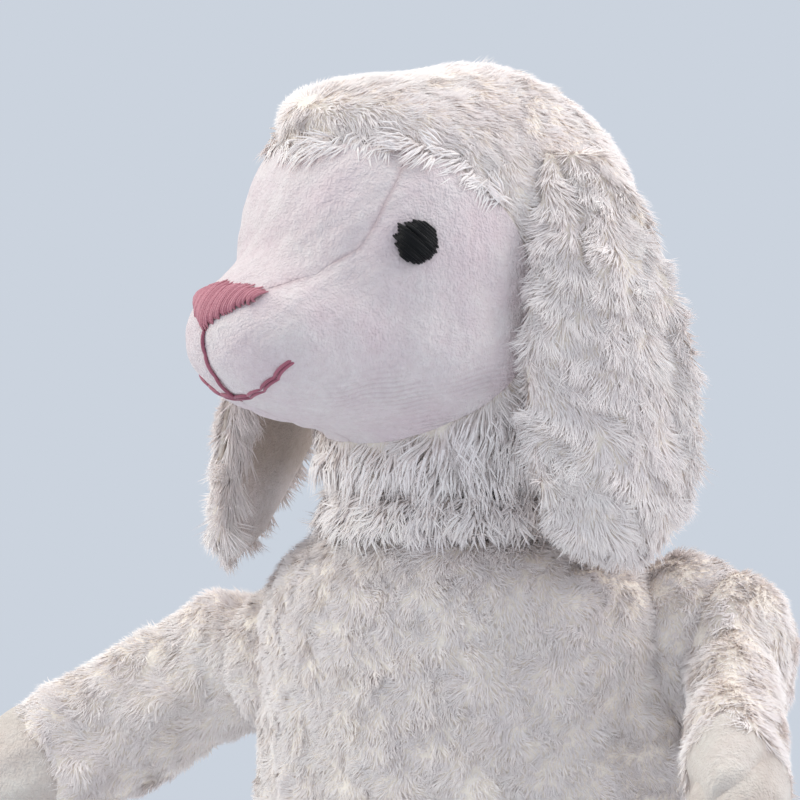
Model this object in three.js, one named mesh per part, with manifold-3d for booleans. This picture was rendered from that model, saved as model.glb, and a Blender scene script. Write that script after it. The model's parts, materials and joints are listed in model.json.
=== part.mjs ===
// Sheep hand puppet: a fur glove with two finger sleeves, and a stuffed head worn on one finger.
// Millimetres, +Z up. The puppet's body looks along -Y and its left side is +X.
// The origin is the middle of the hem opening, where the hand goes in.
import * as THREE from 'three';
import { mergeVertices } from 'three/addons/utils/BufferGeometryUtils.js';
import { ParametricGeometry } from 'three/addons/geometries/ParametricGeometry.js';
import Module from 'manifold-3d';

// Clearances between sewn pieces, and between pieces that turn against each other
const SEAM_GAP = 0.3;
const TURN_GAP = 0.5;

// Glove body: half widths and half depths of the outer fur at four heights
const HEM_HALF_WIDTH = 67;
const HEM_HALF_DEPTH = 44;
const CHEST_HEIGHT = 85;
const CHEST_HALF_WIDTH = 61;
const CHEST_HALF_DEPTH = 39.5;
const ARMPIT_HEIGHT = 124;
const ARMPIT_HALF_WIDTH = 58.5;
const ARMPIT_HALF_DEPTH = 37;
const NECK_HEIGHT = 155;
const NECK_FRONT = 9;
const SHOULDER_DROP = 14;
const SHOULDER_HALF_WIDTH = 52;
const SHOULDER_HALF_DEPTH = 36;
const NECK_RIM_RADIUS = 32;
const NECK_OPENING_RADIUS = 26.5;
const GLOVE_WALL = 5;
const FOLD_DEPTH = 1.3;
const FOLD_RISE = 160;
const FOLD_COUNT = 12;
const FOLDS_FROM = 30;
const HEM_FACING_HEIGHT = 14;
const HEM_FACING_SETBACK = 1;
const HEM_FACING_WALL = 2;

// Arms: a flat round root that turns in the glove's arm hole, a flattened sleeve and a short-pile hoof.
// The root is round about the hinge, and the hinge's way is the sleeve's thin way.
// Each root's middle lies its drop below the armpits.
const ARM_ROOT_RADIUS = 22;
const ARM_ROOT_HALF_THICKNESS = 14;
const ARM_SLEEVE_RADIUS = 17.5;
const ARM_CUFF_RADIUS = 19.5;
const ARM_SLEEVE_LENGTH = 58;
const ARM_WALL = 3.5;
const ARM_MOUTH_SHARE = 0.75;
const ARM_HOLE_EASE = 1.5;
const HOOF_RADIUS = 18;
const HOOF_LENGTH = 27;
const HOOF_WALL = 3;
const ARM_LEFT_DROP = 1;
const ARM_RIGHT_DROP = 8;
const ARM_LEFT = {
  side: 1,
  standoff: 8.5,
  back: 5,
  height: ARMPIT_HEIGHT - ARM_LEFT_DROP,
  aim: new THREE.Vector3(0.36, -0.83, -0.42).normalize(),
  hinge: new THREE.Vector3(1, 0, 0),
};
const ARM_RIGHT = {
  side: -1,
  standoff: 14.5,
  back: 0,
  height: ARMPIT_HEIGHT - ARM_RIGHT_DROP,
  aim: new THREE.Vector3(-0.74, -0.38, -0.51).normalize(),
  hinge: new THREE.Vector3(0, 1, 0),
};

// Neck: a fur ring that turns on the glove and dishes round the throat
const NECK_RUFF_RADIUS = 34;
const NECK_RUFF_TOP_RADIUS = 33.5;
const NECK_RUFF_HEIGHT = 6;

// Head: lobes of the stuffed form, placed from the nod pivot (front, up) with half sizes
const NOD_PIVOT_RISE = 25;
const HEAD_YAW_DEG = -25;
const THROAT_RADIUS = 31;
const CROWN = { front: -1, up: 38, length: 40, width: 37, rise: 46 };
const FOREHEAD = { front: 26, up: 42.5, length: 31, width: 34.5, rise: 35.5 };
const MUZZLE = { front: 47, up: 22, length: 29, width: 24.5, rise: 17.7 };
const CHEEKS = { front: 20, up: 18.7, length: 33.5, width: 36, rise: 18 };
const THROAT = { front: 0, up: 0, length: THROAT_RADIUS, width: THROAT_RADIUS, rise: THROAT_RADIUS };
const FORM_HEART = { front: 20, up: 25 };
const LOBE_BLEND = 4;
const FORM_DETAIL = 6;

// Head covers
const FACE_PILE = 2.5;
const HOOD_PILE = 4.5;
const FACE_OPENING = { front: 55, up: 31, length: 45, rise: 38 };
// Side view (front, up) of the seam between the forehead gusset and the cheeks, from the crown to the nose
const GUSSET_SEAM = [
  { front: 18, up: 90 },
  { front: 36.4, up: 65.4 },
  { front: 43.9, up: 53.8 },
  { front: 49.3, up: 43.1 },
  { front: 56.9, up: 36.1 },
  { front: 71.3, up: 30.7 },
  { front: 100, up: 26 },
];
const HOOD_SEAM_FRONT = 0;

// Finger pocket inside the head
const POCKET_RADIUS = 11.2;
const POCKET_WALL = 1.5;
const POCKET_TOP = 42;
const POCKET_BOTTOM = -22;
const THROAT_OPENING_RADIUS = 16;

// Embroidery
const EYE = { side: 33.5, front: 40.5, up: 44.5, halfLength: 5.4, halfWidth: 4.9, tiltDeg: -40 };
const EYE_THICKNESS = 1.5;
const NOSE_HALF_WIDTH = 12.5;
const NOSE_TOP = 35.3;
const NOSE_POINT = 24.3;
const NOSE_THICKNESS = 1.8;
const MOUTH_RADIUS = 25.5;
const MOUTH_CENTRE_UP = 33;
const MOUTH_HALF_ANGLE_DEG = 50;
const MOUTH_LINE = 1.8;
const MOUTH_THICKNESS = 1.2;

// Ears: outer fur and short-pile lining of a hanging leaf, routed from the nod pivot: out to its side, front and up
const EAR_FUR = 4.5;
const EAR_LINING = 2.5;
const EAR_ROOT_HALF_WIDTH = 12;
const EAR_HALF_WIDTH = 22;
const EAR_HINGE_SIDE = 34.5;
const EAR_HINGE_UP = 66;
const EAR_LEFT = {
  side: 1,
  flareDeg: [18, 18],
  route: [
    { out: 31.5, front: -4, up: 71 },
    { out: 41.5, front: -4, up: 54 },
    { out: 47, front: -4, up: 34 },
    { out: 51, front: -4, up: 8 },
    { out: 53, front: -4, up: -33 },
  ],
};
const EAR_RIGHT = {
  side: -1,
  flareDeg: [0, 45],
  route: [
    { out: 31.5, front: 1, up: 71 },
    { out: 41.5, front: 3, up: 54 },
    { out: 47, front: 8, up: 34 },
    { out: 50, front: 19, up: 6 },
    { out: 49, front: 37, up: -38 },
  ],
};

const ROUND_SIDES = 20;
const GLOVE_SIDES = 52;
// Longer than the head is in any direction
const HEAD_REACH = MUZZLE.front + MUZZLE.length + CROWN.up + CROWN.rise + CROWN.length;

const wasm = await Module();
wasm.setup();

// Merges shared points, drops collapsed triangles and turns the faces outwards.
function closedMesh(geometry) {
  const bare = geometry.clone();
  bare.deleteAttribute('normal');
  bare.deleteAttribute('uv');
  const merged = mergeVertices(bare, 1e-4);
  const points = merged.attributes.position.array;
  const corners = Array.from(merged.index.array);
  const kept = [];
  let volume = 0;
  const [a, b, c] = [new THREE.Vector3(), new THREE.Vector3(), new THREE.Vector3()];
  for (let i = 0; i < corners.length; i += 3) {
    const [p, q, r] = corners.slice(i, i + 3);
    if (p === q || q === r || r === p) continue;
    kept.push(p, q, r);
    a.fromArray(points, p * 3);
    b.fromArray(points, q * 3);
    c.fromArray(points, r * 3);
    volume += a.dot(b.cross(c));
  }
  if (volume < 0) kept.reverse();
  return { points: new Float32Array(points), corners: new Uint32Array(kept) };
}

function solidFrom(geometry) {
  const { points, corners } = closedMesh(geometry);
  const mesh = new wasm.Mesh({ numProp: 3, vertProperties: points, triVerts: corners });
  return new wasm.Manifold(mesh);
}

function geometryFrom(solid) {
  const mesh = solid.getMesh();
  const geometry = new THREE.BufferGeometry();
  geometry.setAttribute('position', new THREE.BufferAttribute(new Float32Array(mesh.vertProperties), 3));
  geometry.setIndex(new THREE.BufferAttribute(new Uint32Array(mesh.triVerts), 1));
  geometry.computeVertexNormals();
  return geometry;
}

// A point of the head, given as side (its left), front and up.
function headPoint(side, front, up) {
  return new THREE.Vector3(side, -front, up);
}

// Extrudes a shape through the origin both ways, then turns its axes to the three given directions.
function extrudeAcross(shape, reach, shapeX, shapeY, through, centre, curveSegments = ROUND_SIDES / 2) {
  const geometry = new THREE.ExtrudeGeometry(shape, { depth: 2 * reach, bevelEnabled: false, curveSegments });
  geometry.translate(0, 0, -reach);
  geometry.applyMatrix4(new THREE.Matrix4().makeBasis(shapeX, shapeY, through).setPosition(centre));
  return solidFrom(geometry);
}

// A closed skin through rows of points: each row is a loop and the last row joins the first.
function loopedRows(rowCount, sides, pointAt) {
  const surface = (u, v, target) => {
    const row = Math.round(v * rowCount) % rowCount;
    target.copy(pointAt(row, (Math.round(u * sides) % sides) / sides));
  };
  return new ParametricGeometry(surface, sides, rowCount);
}

function upright(radiusProfile) {
  const lathe = new THREE.LatheGeometry(radiusProfile, ROUND_SIDES);
  lathe.rotateX(Math.PI / 2);
  return lathe;
}

// Glove body

function glovePath() {
  return new THREE.CatmullRomCurve3([
    new THREE.Vector3(HEM_HALF_WIDTH, HEM_HALF_DEPTH, 0),
    new THREE.Vector3(CHEST_HALF_WIDTH, CHEST_HALF_DEPTH, CHEST_HEIGHT),
    new THREE.Vector3(ARMPIT_HALF_WIDTH, ARMPIT_HALF_DEPTH, ARMPIT_HEIGHT),
    new THREE.Vector3(SHOULDER_HALF_WIDTH, SHOULDER_HALF_DEPTH, NECK_HEIGHT - SHOULDER_DROP),
    new THREE.Vector3(NECK_RIM_RADIUS, NECK_RIM_RADIUS, NECK_HEIGHT),
  ]);
}

// Half width, half depth and height of the inside of a wall, a part of the way up the glove path.
function insideOfGlove(path, share, wall) {
  const outer = path.getPoint(share);
  const tuckSharpness = 6;
  const tuck = Math.min(1, outer.z / ARMPIT_HEIGHT) ** tuckSharpness;
  return new THREE.Vector3(
    Math.max(outer.x - wall, NECK_OPENING_RADIUS),
    Math.max(outer.y - wall, NECK_OPENING_RADIUS),
    outer.z - wall * Math.min(tuck, outer.z / NECK_HEIGHT),
  );
}

// The glove leans forward towards its neck.
function leanAt(height) {
  return -NECK_FRONT * THREE.MathUtils.smoothstep(height, CHEST_HEIGHT, NECK_HEIGHT);
}

// Soft slanting folds between the hem and the armpits.
function foldAt(turn, height) {
  const from = THREE.MathUtils.smoothstep(height, FOLDS_FROM, 2 * FOLDS_FROM);
  const upTo = 1 - THREE.MathUtils.smoothstep(height, CHEST_HEIGHT, ARMPIT_HEIGHT);
  return FOLD_DEPTH * from * upTo * Math.sin(2 * Math.PI * (FOLD_COUNT * turn + height / FOLD_RISE));
}

function ellipsePoint(halves, turn) {
  const angle = turn * 2 * Math.PI;
  const fold = foldAt(turn, halves.z);
  return new THREE.Vector3(
    (halves.x + fold) * Math.cos(angle),
    (halves.y + fold) * Math.sin(angle) + leanAt(halves.z),
    halves.z,
  );
}

function gloveShell() {
  const path = glovePath();
  const levels = 11;
  const rows = [];
  for (let i = 0; i <= levels; i++) rows.push(path.getPoint(i / levels));
  for (let i = levels; i >= 0; i--) rows.push(insideOfGlove(path, i / levels, GLOVE_WALL));
  return solidFrom(loopedRows(rows.length, GLOVE_SIDES, (row, turn) => ellipsePoint(rows[row], turn)));
}

// Root of an arm: round about its hinge, grown on all sides.
function armRoot(arm, grow) {
  const radius = ARM_ROOT_RADIUS + grow;
  const root = new THREE.SphereGeometry(radius, ROUND_SIDES, ROUND_SIDES / 2);
  root.rotateX(Math.PI / 2);
  root.scale(1, 1, (ARM_ROOT_HALF_THICKNESS + grow) / radius);
  root.applyQuaternion(new THREE.Quaternion().setFromUnitVectors(new THREE.Vector3(0, 0, 1), arm.hinge));
  return solidFrom(atArm(root, arm));
}

function atArm(geometry, arm) {
  return geometry.translate(arm.side * (ARMPIT_HALF_WIDTH + arm.standoff), arm.back, arm.height);
}

// A finger's way straight through a side of the glove, from the arm root inwards.
function fingerWay(arm, ease) {
  const inside = arm.hinge.x ? ARM_ROOT_RADIUS : ARM_ROOT_HALF_THICKNESS;
  const high = (ARM_ROOT_RADIUS - ARM_WALL) * ARM_MOUTH_SHARE + ease;
  const deep = (inside - ARM_WALL) * ARM_MOUTH_SHARE + ease;
  const length = 2 * ARM_ROOT_RADIUS;
  const way = new THREE.CylinderGeometry(1, 1, length, ROUND_SIDES);
  way.rotateZ(Math.PI / 2);
  way.scale(1, deep, high);
  way.translate(-arm.side * length / 2, 0, 0);
  return solidFrom(atArm(way, arm));
}

// The seat of an arm in the glove's side seam, with the finger's way through the wall.
function armHole(arm) {
  return armRoot(arm, TURN_GAP).add(fingerWay(arm, ARM_HOLE_EASE));
}

function glovePanel(facing) {
  const shell = gloveShell().subtract(armHole(ARM_LEFT)).subtract(armHole(ARM_RIGHT));
  return geometryFrom(shell.trimByPlane([0, facing, 0], SEAM_GAP / 2));
}

// The turned-in hem: a band that lies against the inside of the glove.
function hemFacing() {
  const path = glovePath();
  const rows = [];
  const heights = [HEM_FACING_SETBACK, HEM_FACING_SETBACK + HEM_FACING_HEIGHT];
  const atHeight = (height, wall) => {
    const share = path.getUtoTmapping(0, height);
    return insideOfGlove(path, share, wall);
  };
  const outside = GLOVE_WALL + SEAM_GAP;
  for (const height of heights) rows.push(atHeight(height, outside));
  for (const height of heights.reverse()) rows.push(atHeight(height, outside + HEM_FACING_WALL));
  const band = loopedRows(rows.length, GLOVE_SIDES, (row, turn) => ellipsePoint(rows[row], turn));
  return geometryFrom(solidFrom(band));
}

// Arms

const ARM_THINNESS = ARM_ROOT_HALF_THICKNESS / ARM_ROOT_RADIUS;

// A turned outline, flattened across and aimed along an arm.
function aimed(profile, arm, thinness) {
  const lathe = new THREE.LatheGeometry(profile, ROUND_SIDES);
  lathe.scale(1, 1, thinness);
  const thin = arm.hinge.clone().addScaledVector(arm.aim, -arm.hinge.dot(arm.aim)).normalize();
  const broad = new THREE.Vector3().crossVectors(arm.aim, thin);
  lathe.applyMatrix4(new THREE.Matrix4().makeBasis(broad, arm.aim, thin));
  return solidFrom(atArm(lathe, arm));
}

// How thin the inside of a flattened wall is, from its outer half width.
function thinnessInside(radius, wall) {
  return (radius * ARM_THINNESS - wall) / (radius - wall);
}

// Half outline of a sleeve with a round start.
function sleeveProfile(startRadius, cuffRadius, length) {
  const steps = 6;
  const profile = [];
  for (let i = 0; i <= steps; i++) {
    const angle = -Math.PI / 2 + (Math.PI / 2) * i / steps;
    profile.push(new THREE.Vector2(startRadius * Math.cos(angle), startRadius * Math.sin(angle)));
  }
  profile[0].x = 0;
  profile.push(new THREE.Vector2(cuffRadius, length));
  profile.push(new THREE.Vector2(0, length));
  return profile;
}

function armSleeve(arm) {
  const past = ARM_SLEEVE_LENGTH + ARM_WALL;
  const outer = sleeveProfile(ARM_SLEEVE_RADIUS, ARM_CUFF_RADIUS, ARM_SLEEVE_LENGTH);
  const inner = sleeveProfile(ARM_SLEEVE_RADIUS - ARM_WALL, ARM_CUFF_RADIUS - ARM_WALL, past);
  const outside = armRoot(arm, 0).add(aimed(outer, arm, ARM_THINNESS));
  const thinness = thinnessInside(ARM_SLEEVE_RADIUS, ARM_WALL);
  const inside = armRoot(arm, -ARM_WALL).add(aimed(inner, arm, thinness));
  return geometryFrom(outside.subtract(inside).subtract(fingerWay(arm, 0)));
}

// A hollow cap with a domed end, sewn to the cuff.
function hoof(arm) {
  const base = ARM_SLEEVE_LENGTH + SEAM_GAP;
  const dome = (radius, length) => {
    const straight = length - radius;
    const arc = [];
    const steps = 5;
    for (let i = 0; i < steps; i++) {
      const angle = (Math.PI / 2) * i / steps;
      arc.push(new THREE.Vector2(radius * Math.cos(angle), base + straight + radius * Math.sin(angle)));
    }
    const bottom = [new THREE.Vector2(0, base), new THREE.Vector2(radius, base)];
    return [...bottom, ...arc, new THREE.Vector2(0, base + length)];
  };
  const outside = aimed(dome(HOOF_RADIUS, HOOF_LENGTH), arm, ARM_THINNESS);
  const hollow = dome(HOOF_RADIUS - HOOF_WALL, HOOF_LENGTH - HOOF_WALL);
  hollow[0].y -= HOOF_WALL;
  hollow[1].y -= HOOF_WALL;
  return geometryFrom(outside.subtract(aimed(hollow, arm, thinnessInside(HOOF_RADIUS, HOOF_WALL))));
}

// Neck ring

function neckRuff() {
  const base = NECK_HEIGHT + SEAM_GAP;
  const dish = THROAT_RADIUS + HOOD_PILE + TURN_GAP;
  const ring = upright([
    new THREE.Vector2(0, base),
    new THREE.Vector2(NECK_RUFF_RADIUS, base),
    new THREE.Vector2(NECK_RUFF_TOP_RADIUS, base + NECK_RUFF_HEIGHT),
    new THREE.Vector2(0, base + NECK_RUFF_HEIGHT),
  ]);
  const throat = new THREE.SphereGeometry(dish, 2 * ROUND_SIDES, ROUND_SIDES);
  throat.rotateX(Math.PI / 2);
  throat.translate(0, 0, NECK_HEIGHT + NOD_PIVOT_RISE);
  return geometryFrom(solidFrom(ring).subtract(solidFrom(throat))).translate(0, -NECK_FRONT, 0);
}

// Head form

const LOBES = [CROWN, FOREHEAD, MUZZLE, CHEEKS, THROAT];

// Rough distance from a lobe's surface, negative inside.
function lobeDistance(lobe, side, front, up) {
  const ratios = [side / lobe.width, (front - lobe.front) / lobe.length, (up - lobe.up) / lobe.rise];
  const slopes = [ratios[0] / lobe.width, ratios[1] / lobe.length, ratios[2] / lobe.rise];
  const reach = Math.hypot(...ratios);
  return reach * (reach - 1) / Math.max(Math.hypot(...slopes), 1e-9);
}

// All lobes run into each other softly.
function formDistance(point) {
  let total = 0;
  for (const lobe of LOBES) total += Math.exp(-lobeDistance(lobe, point.x, -point.y, point.z) / LOBE_BLEND);
  return -LOBE_BLEND * Math.log(total);
}

const HEART = headPoint(0, FORM_HEART.front, FORM_HEART.up);

// How far the form reaches from its heart in one direction.
function formReach(direction) {
  let inside = 0;
  let outside = HEAD_REACH / 2;
  const probe = new THREE.Vector3();
  for (let i = 0; i < 40; i++) {
    const middle = (inside + outside) / 2;
    probe.copy(HEART).addScaledVector(direction, middle);
    if (formDistance(probe) < 0) inside = middle;
    else outside = middle;
  }
  return inside;
}

const REACH_OF = new Map();

function formSolid(cover) {
  const ball = new THREE.IcosahedronGeometry(1, FORM_DETAIL);
  const position = ball.attributes.position;
  const direction = new THREE.Vector3();
  for (let i = 0; i < position.count; i++) {
    direction.fromBufferAttribute(position, i).normalize();
    const key = direction.toArray().map((value) => value.toFixed(5)).join();
    if (!REACH_OF.has(key)) REACH_OF.set(key, formReach(direction));
    direction.multiplyScalar(REACH_OF.get(key) + cover).add(HEART);
    position.setXYZ(i, direction.x, direction.y, direction.z);
  }
  return solidFrom(ball);
}

function formShell(innerCover, outerCover) {
  return formSolid(outerCover).subtract(formSolid(innerCover));
}

const ACROSS = headPoint(1, 0, 0);
const AHEAD = headPoint(0, 1, 0);
const UPWARD = headPoint(0, 0, 1);

// The oval side view of the opening that the hood leaves for the face.
function faceOpening(grow) {
  const oval = new THREE.Shape();
  oval.absellipse(0, 0, FACE_OPENING.length + grow, FACE_OPENING.rise + grow, 0, 2 * Math.PI);
  const centre = headPoint(0, FACE_OPENING.front, FACE_OPENING.up);
  return extrudeAcross(oval, HEAD_REACH, AHEAD, UPWARD, ACROSS, centre);
}

// All of the face above the gusset's seam, in side view.
function aboveSeam(grow) {
  const seam = GUSSET_SEAM.map(({ front, up }) => new THREE.Vector2(front - grow, up - grow));
  const corners = [new THREE.Vector2(seam.at(-1).x, HEAD_REACH), new THREE.Vector2(seam[0].x, HEAD_REACH)];
  const shape = new THREE.Shape([...seam, ...corners]);
  return extrudeAcross(shape, HEAD_REACH, AHEAD, UPWARD, ACROSS, new THREE.Vector3());
}

function faceShell() {
  return formShell(SEAM_GAP, FACE_PILE).intersect(faceOpening(-SEAM_GAP));
}

function faceGusset() {
  return geometryFrom(faceShell().intersect(aboveSeam(0)));
}

function cheek(side) {
  const belowGusset = faceShell().subtract(aboveSeam(SEAM_GAP));
  return geometryFrom(belowGusset.trimByPlane([side, 0, 0], SEAM_GAP / 2));
}

function throatWay(radius, top) {
  const way = new THREE.CylinderGeometry(radius, radius, HEAD_REACH, ROUND_SIDES);
  way.rotateX(Math.PI / 2);
  way.translate(0, 0, top - HEAD_REACH / 2);
  return solidFrom(way);
}

function hoodPanel(facing) {
  const shell = formShell(SEAM_GAP, HOOD_PILE).subtract(faceOpening(0));
  const open = shell.subtract(throatWay(THROAT_OPENING_RADIUS, 0));
  return geometryFrom(open.trimByPlane([0, -facing, 0], facing * HOOD_SEAM_FRONT + SEAM_GAP / 2));
}

function headStuffing() {
  const bore = POCKET_RADIUS + POCKET_WALL + SEAM_GAP;
  return geometryFrom(formSolid(0).subtract(throatWay(bore, POCKET_TOP + SEAM_GAP)));
}

function fingerPocket() {
  const outer = POCKET_RADIUS + POCKET_WALL;
  const pocket = upright([
    new THREE.Vector2(0, POCKET_TOP),
    new THREE.Vector2(outer, POCKET_TOP),
    new THREE.Vector2(outer, POCKET_BOTTOM),
    new THREE.Vector2(POCKET_RADIUS, POCKET_BOTTOM),
    new THREE.Vector2(POCKET_RADIUS, POCKET_TOP - POCKET_WALL),
    new THREE.Vector2(0, POCKET_TOP - POCKET_WALL),
  ]);
  return geometryFrom(solidFrom(pocket));
}

// Embroidery lies on the face pile, cut from a thin layer by the outline of its stitches

function stitched(outline, thickness) {
  const underside = FACE_PILE + SEAM_GAP;
  return geometryFrom(formShell(underside, underside + thickness).intersect(outline));
}

function eye(side) {
  const oval = new THREE.Shape();
  oval.absellipse(0, 0, EYE.halfLength, EYE.halfWidth, 0, 2 * Math.PI);
  const centre = headPoint(side * EYE.side, EYE.front, EYE.up);
  const outward = new THREE.Vector3().subVectors(centre, headPoint(0, CHEEKS.front, EYE.up)).normalize();
  const tilt = THREE.MathUtils.degToRad(EYE.tiltDeg);
  const level = new THREE.Vector3().crossVectors(UPWARD, outward).normalize();
  const rise = new THREE.Vector3().crossVectors(outward, level);
  const along = level.clone().multiplyScalar(Math.cos(tilt)).addScaledVector(rise, side * Math.sin(tilt));
  const over = new THREE.Vector3().crossVectors(outward, along);
  const reach = EYE.halfLength * 2;
  return stitched(extrudeAcross(oval, reach, along, over, outward, centre), EYE_THICKNESS);
}

// Front views of the nose and mouth, pushed through the tip of the muzzle
function throughMuzzle(shape, curveSegments) {
  const reach = MUZZLE.length;
  const centre = headPoint(0, MUZZLE.front + MUZZLE.length + FACE_PILE, 0);
  return extrudeAcross(shape, reach, ACROSS, UPWARD, headPoint(0, -1, 0), centre, curveSegments);
}

function nose() {
  const width = NOSE_HALF_WIDTH;
  const upTo = (share) => NOSE_POINT + (NOSE_TOP - NOSE_POINT) * share;
  const shape = new THREE.Shape();
  shape.moveTo(0, NOSE_POINT);
  shape.quadraticCurveTo(width * 0.25, upTo(0.5), width * 0.8, upTo(0.6));
  shape.quadraticCurveTo(width * 1.05, upTo(0.68), width, upTo(0.82));
  shape.quadraticCurveTo(0, upTo(1.18), -width, upTo(0.82));
  shape.quadraticCurveTo(-width * 1.05, upTo(0.68), -width * 0.8, upTo(0.6));
  shape.quadraticCurveTo(-width * 0.25, upTo(0.5), 0, NOSE_POINT);
  return stitched(throughMuzzle(shape, 5), NOSE_THICKNESS);
}

function mouth() {
  const half = THREE.MathUtils.degToRad(MOUTH_HALF_ANGLE_DEG);
  const down = -Math.PI / 2;
  const smile = new THREE.Shape();
  smile.absarc(0, MOUTH_CENTRE_UP, MOUTH_RADIUS + MOUTH_LINE / 2, down - half, down + half, false);
  smile.absarc(0, MOUTH_CENTRE_UP, MOUTH_RADIUS - MOUTH_LINE / 2, down + half, down - half, true);
  const low = MOUTH_CENTRE_UP - MOUTH_RADIUS;
  const high = NOSE_POINT - SEAM_GAP;
  const bar = new THREE.Shape([
    new THREE.Vector2(-MOUTH_LINE / 2, low),
    new THREE.Vector2(MOUTH_LINE / 2, low),
    new THREE.Vector2(MOUTH_LINE / 2, high),
    new THREE.Vector2(-MOUTH_LINE / 2, high),
  ]);
  return stitched(throughMuzzle(smile, 10).add(throughMuzzle(bar, 1)), MOUTH_THICKNESS);
}

// Ears

// Half width of the leaf from its rounded root (0) to its tip (1).
function earHalfWidth(share) {
  const rounded = 0.25;
  const widest = 0.6;
  const spread = THREE.MathUtils.smoothstep(share, 0, widest);
  const body = EAR_ROOT_HALF_WIDTH + (EAR_HALF_WIDTH - EAR_ROOT_HALF_WIDTH) * spread;
  const before = Math.max(0, 1 - share / rounded);
  const past = Math.max(0, (share - widest) / (1 - widest));
  return body * Math.sqrt(Math.max(0, 1 - before ** 2)) * Math.sqrt(Math.max(0, 1 - past ** 2.6));
}

// One half of the leaf's thickness: facing 1 is the fur outside, -1 the lining.
function earHalf(ear, facing, thickness) {
  const route = new THREE.CatmullRomCurve3(
    ear.route.map(({ out, front, up }) => headPoint(ear.side * out, front, up)),
  );
  const rows = 14;
  const sides = 12;
  const arcShare = 9 / sides;
  const pointAt = (row, turn) => {
    const share = row / rows;
    const flare = THREE.MathUtils.degToRad(THREE.MathUtils.lerp(...ear.flareDeg, share));
    const broad = headPoint(-ear.side * Math.sin(flare), Math.cos(flare), 0);
    const centre = route.getPointAt(share);
    const outward = new THREE.Vector3().crossVectors(route.getTangentAt(share), broad).normalize();
    if (outward.x * ear.side < 0) outward.negate();
    const half = earHalfWidth(share);
    const angle = Math.min(turn / arcShare, 1) * Math.PI;
    const chord = turn > arcShare ? (turn - arcShare) / (1 - arcShare) * 2 - 1 : Math.cos(angle);
    const swell = half === 0 ? 0 : Math.sin(angle) * thickness;
    const offset = facing * (SEAM_GAP / 2 + swell);
    return centre.addScaledVector(broad, half * chord).addScaledVector(outward, offset);
  };
  const surface = (u, v, target) => {
    const turn = (Math.round(u * sides) % sides) / sides;
    target.copy(pointAt(Math.round(v * rows), turn));
  };
  const leaf = solidFrom(new ParametricGeometry(surface, sides, rows));
  const belowHinge = leaf.trimByPlane([0, 0, -1], -EAR_HINGE_UP);
  const outsideHinge = belowHinge.trimByPlane([ear.side, 0, 0], EAR_HINGE_SIDE);
  return geometryFrom(outsideHinge.subtract(formSolid(HOOD_PILE + TURN_GAP)));
}

// Finishes

function finish(colour, roughness) {
  return new THREE.MeshStandardMaterial({ color: colour, roughness, metalness: 0 });
}

const creamFur = finish(0xeee6da, 0.95);
const paleVelour = finish(0xeee0dd, 0.9);
const woolFill = finish(0xf0ebdf, 1);
const cottonJersey = finish(0xe9e2d6, 0.9);
const blackThread = finish(0x17161a, 0.6);
const roseThread = finish(0xb96b7c, 0.6);

function piece(name, geometry, material) {
  const mesh = new THREE.Mesh(geometry, material);
  mesh.name = name;
  return mesh;
}

const sheep = new THREE.Group();
sheep.add(piece('torso_front', glovePanel(-1), creamFur));
sheep.add(piece('torso_back', glovePanel(1), creamFur));
sheep.add(piece('hem_facing', hemFacing(), cottonJersey));
sheep.add(piece('arm_sleeve_left', armSleeve(ARM_LEFT), creamFur));
sheep.add(piece('arm_sleeve_right', armSleeve(ARM_RIGHT), creamFur));
sheep.add(piece('hoof_left', hoof(ARM_LEFT), paleVelour));
sheep.add(piece('hoof_right', hoof(ARM_RIGHT), paleVelour));
sheep.add(piece('neck_ruff', neckRuff(), creamFur));

const head = new THREE.Group();
head.position.set(0, -NECK_FRONT, NECK_HEIGHT + NOD_PIVOT_RISE);
head.rotation.z = THREE.MathUtils.degToRad(HEAD_YAW_DEG);
head.add(piece('head_stuffing', headStuffing(), woolFill));
head.add(piece('finger_pocket', fingerPocket(), cottonJersey));
head.add(piece('face_gusset', faceGusset(), paleVelour));
head.add(piece('cheek_left', cheek(1), paleVelour));
head.add(piece('cheek_right', cheek(-1), paleVelour));
head.add(piece('hood_front', hoodPanel(1), creamFur));
head.add(piece('hood_back', hoodPanel(-1), creamFur));
head.add(piece('eye_left', eye(1), blackThread));
head.add(piece('eye_right', eye(-1), blackThread));
head.add(piece('nose', nose(), roseThread));
head.add(piece('mouth', mouth(), roseThread));
head.add(piece('ear_left', earHalf(EAR_LEFT, 1, EAR_FUR), creamFur));
head.add(piece('ear_left_lining', earHalf(EAR_LEFT, -1, EAR_LINING), paleVelour));
head.add(piece('ear_right', earHalf(EAR_RIGHT, 1, EAR_FUR), creamFur));
head.add(piece('ear_right_lining', earHalf(EAR_RIGHT, -1, EAR_LINING), paleVelour));
sheep.add(head);

export default sheep;
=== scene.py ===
"""Sheep hand puppet: fur, short-pile face, stitches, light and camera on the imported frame."""

import json
import math

import bmesh
import bpy
import numpy as np
from mathutils import Matrix, Vector
from mathutils.kdtree import KDTree


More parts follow.
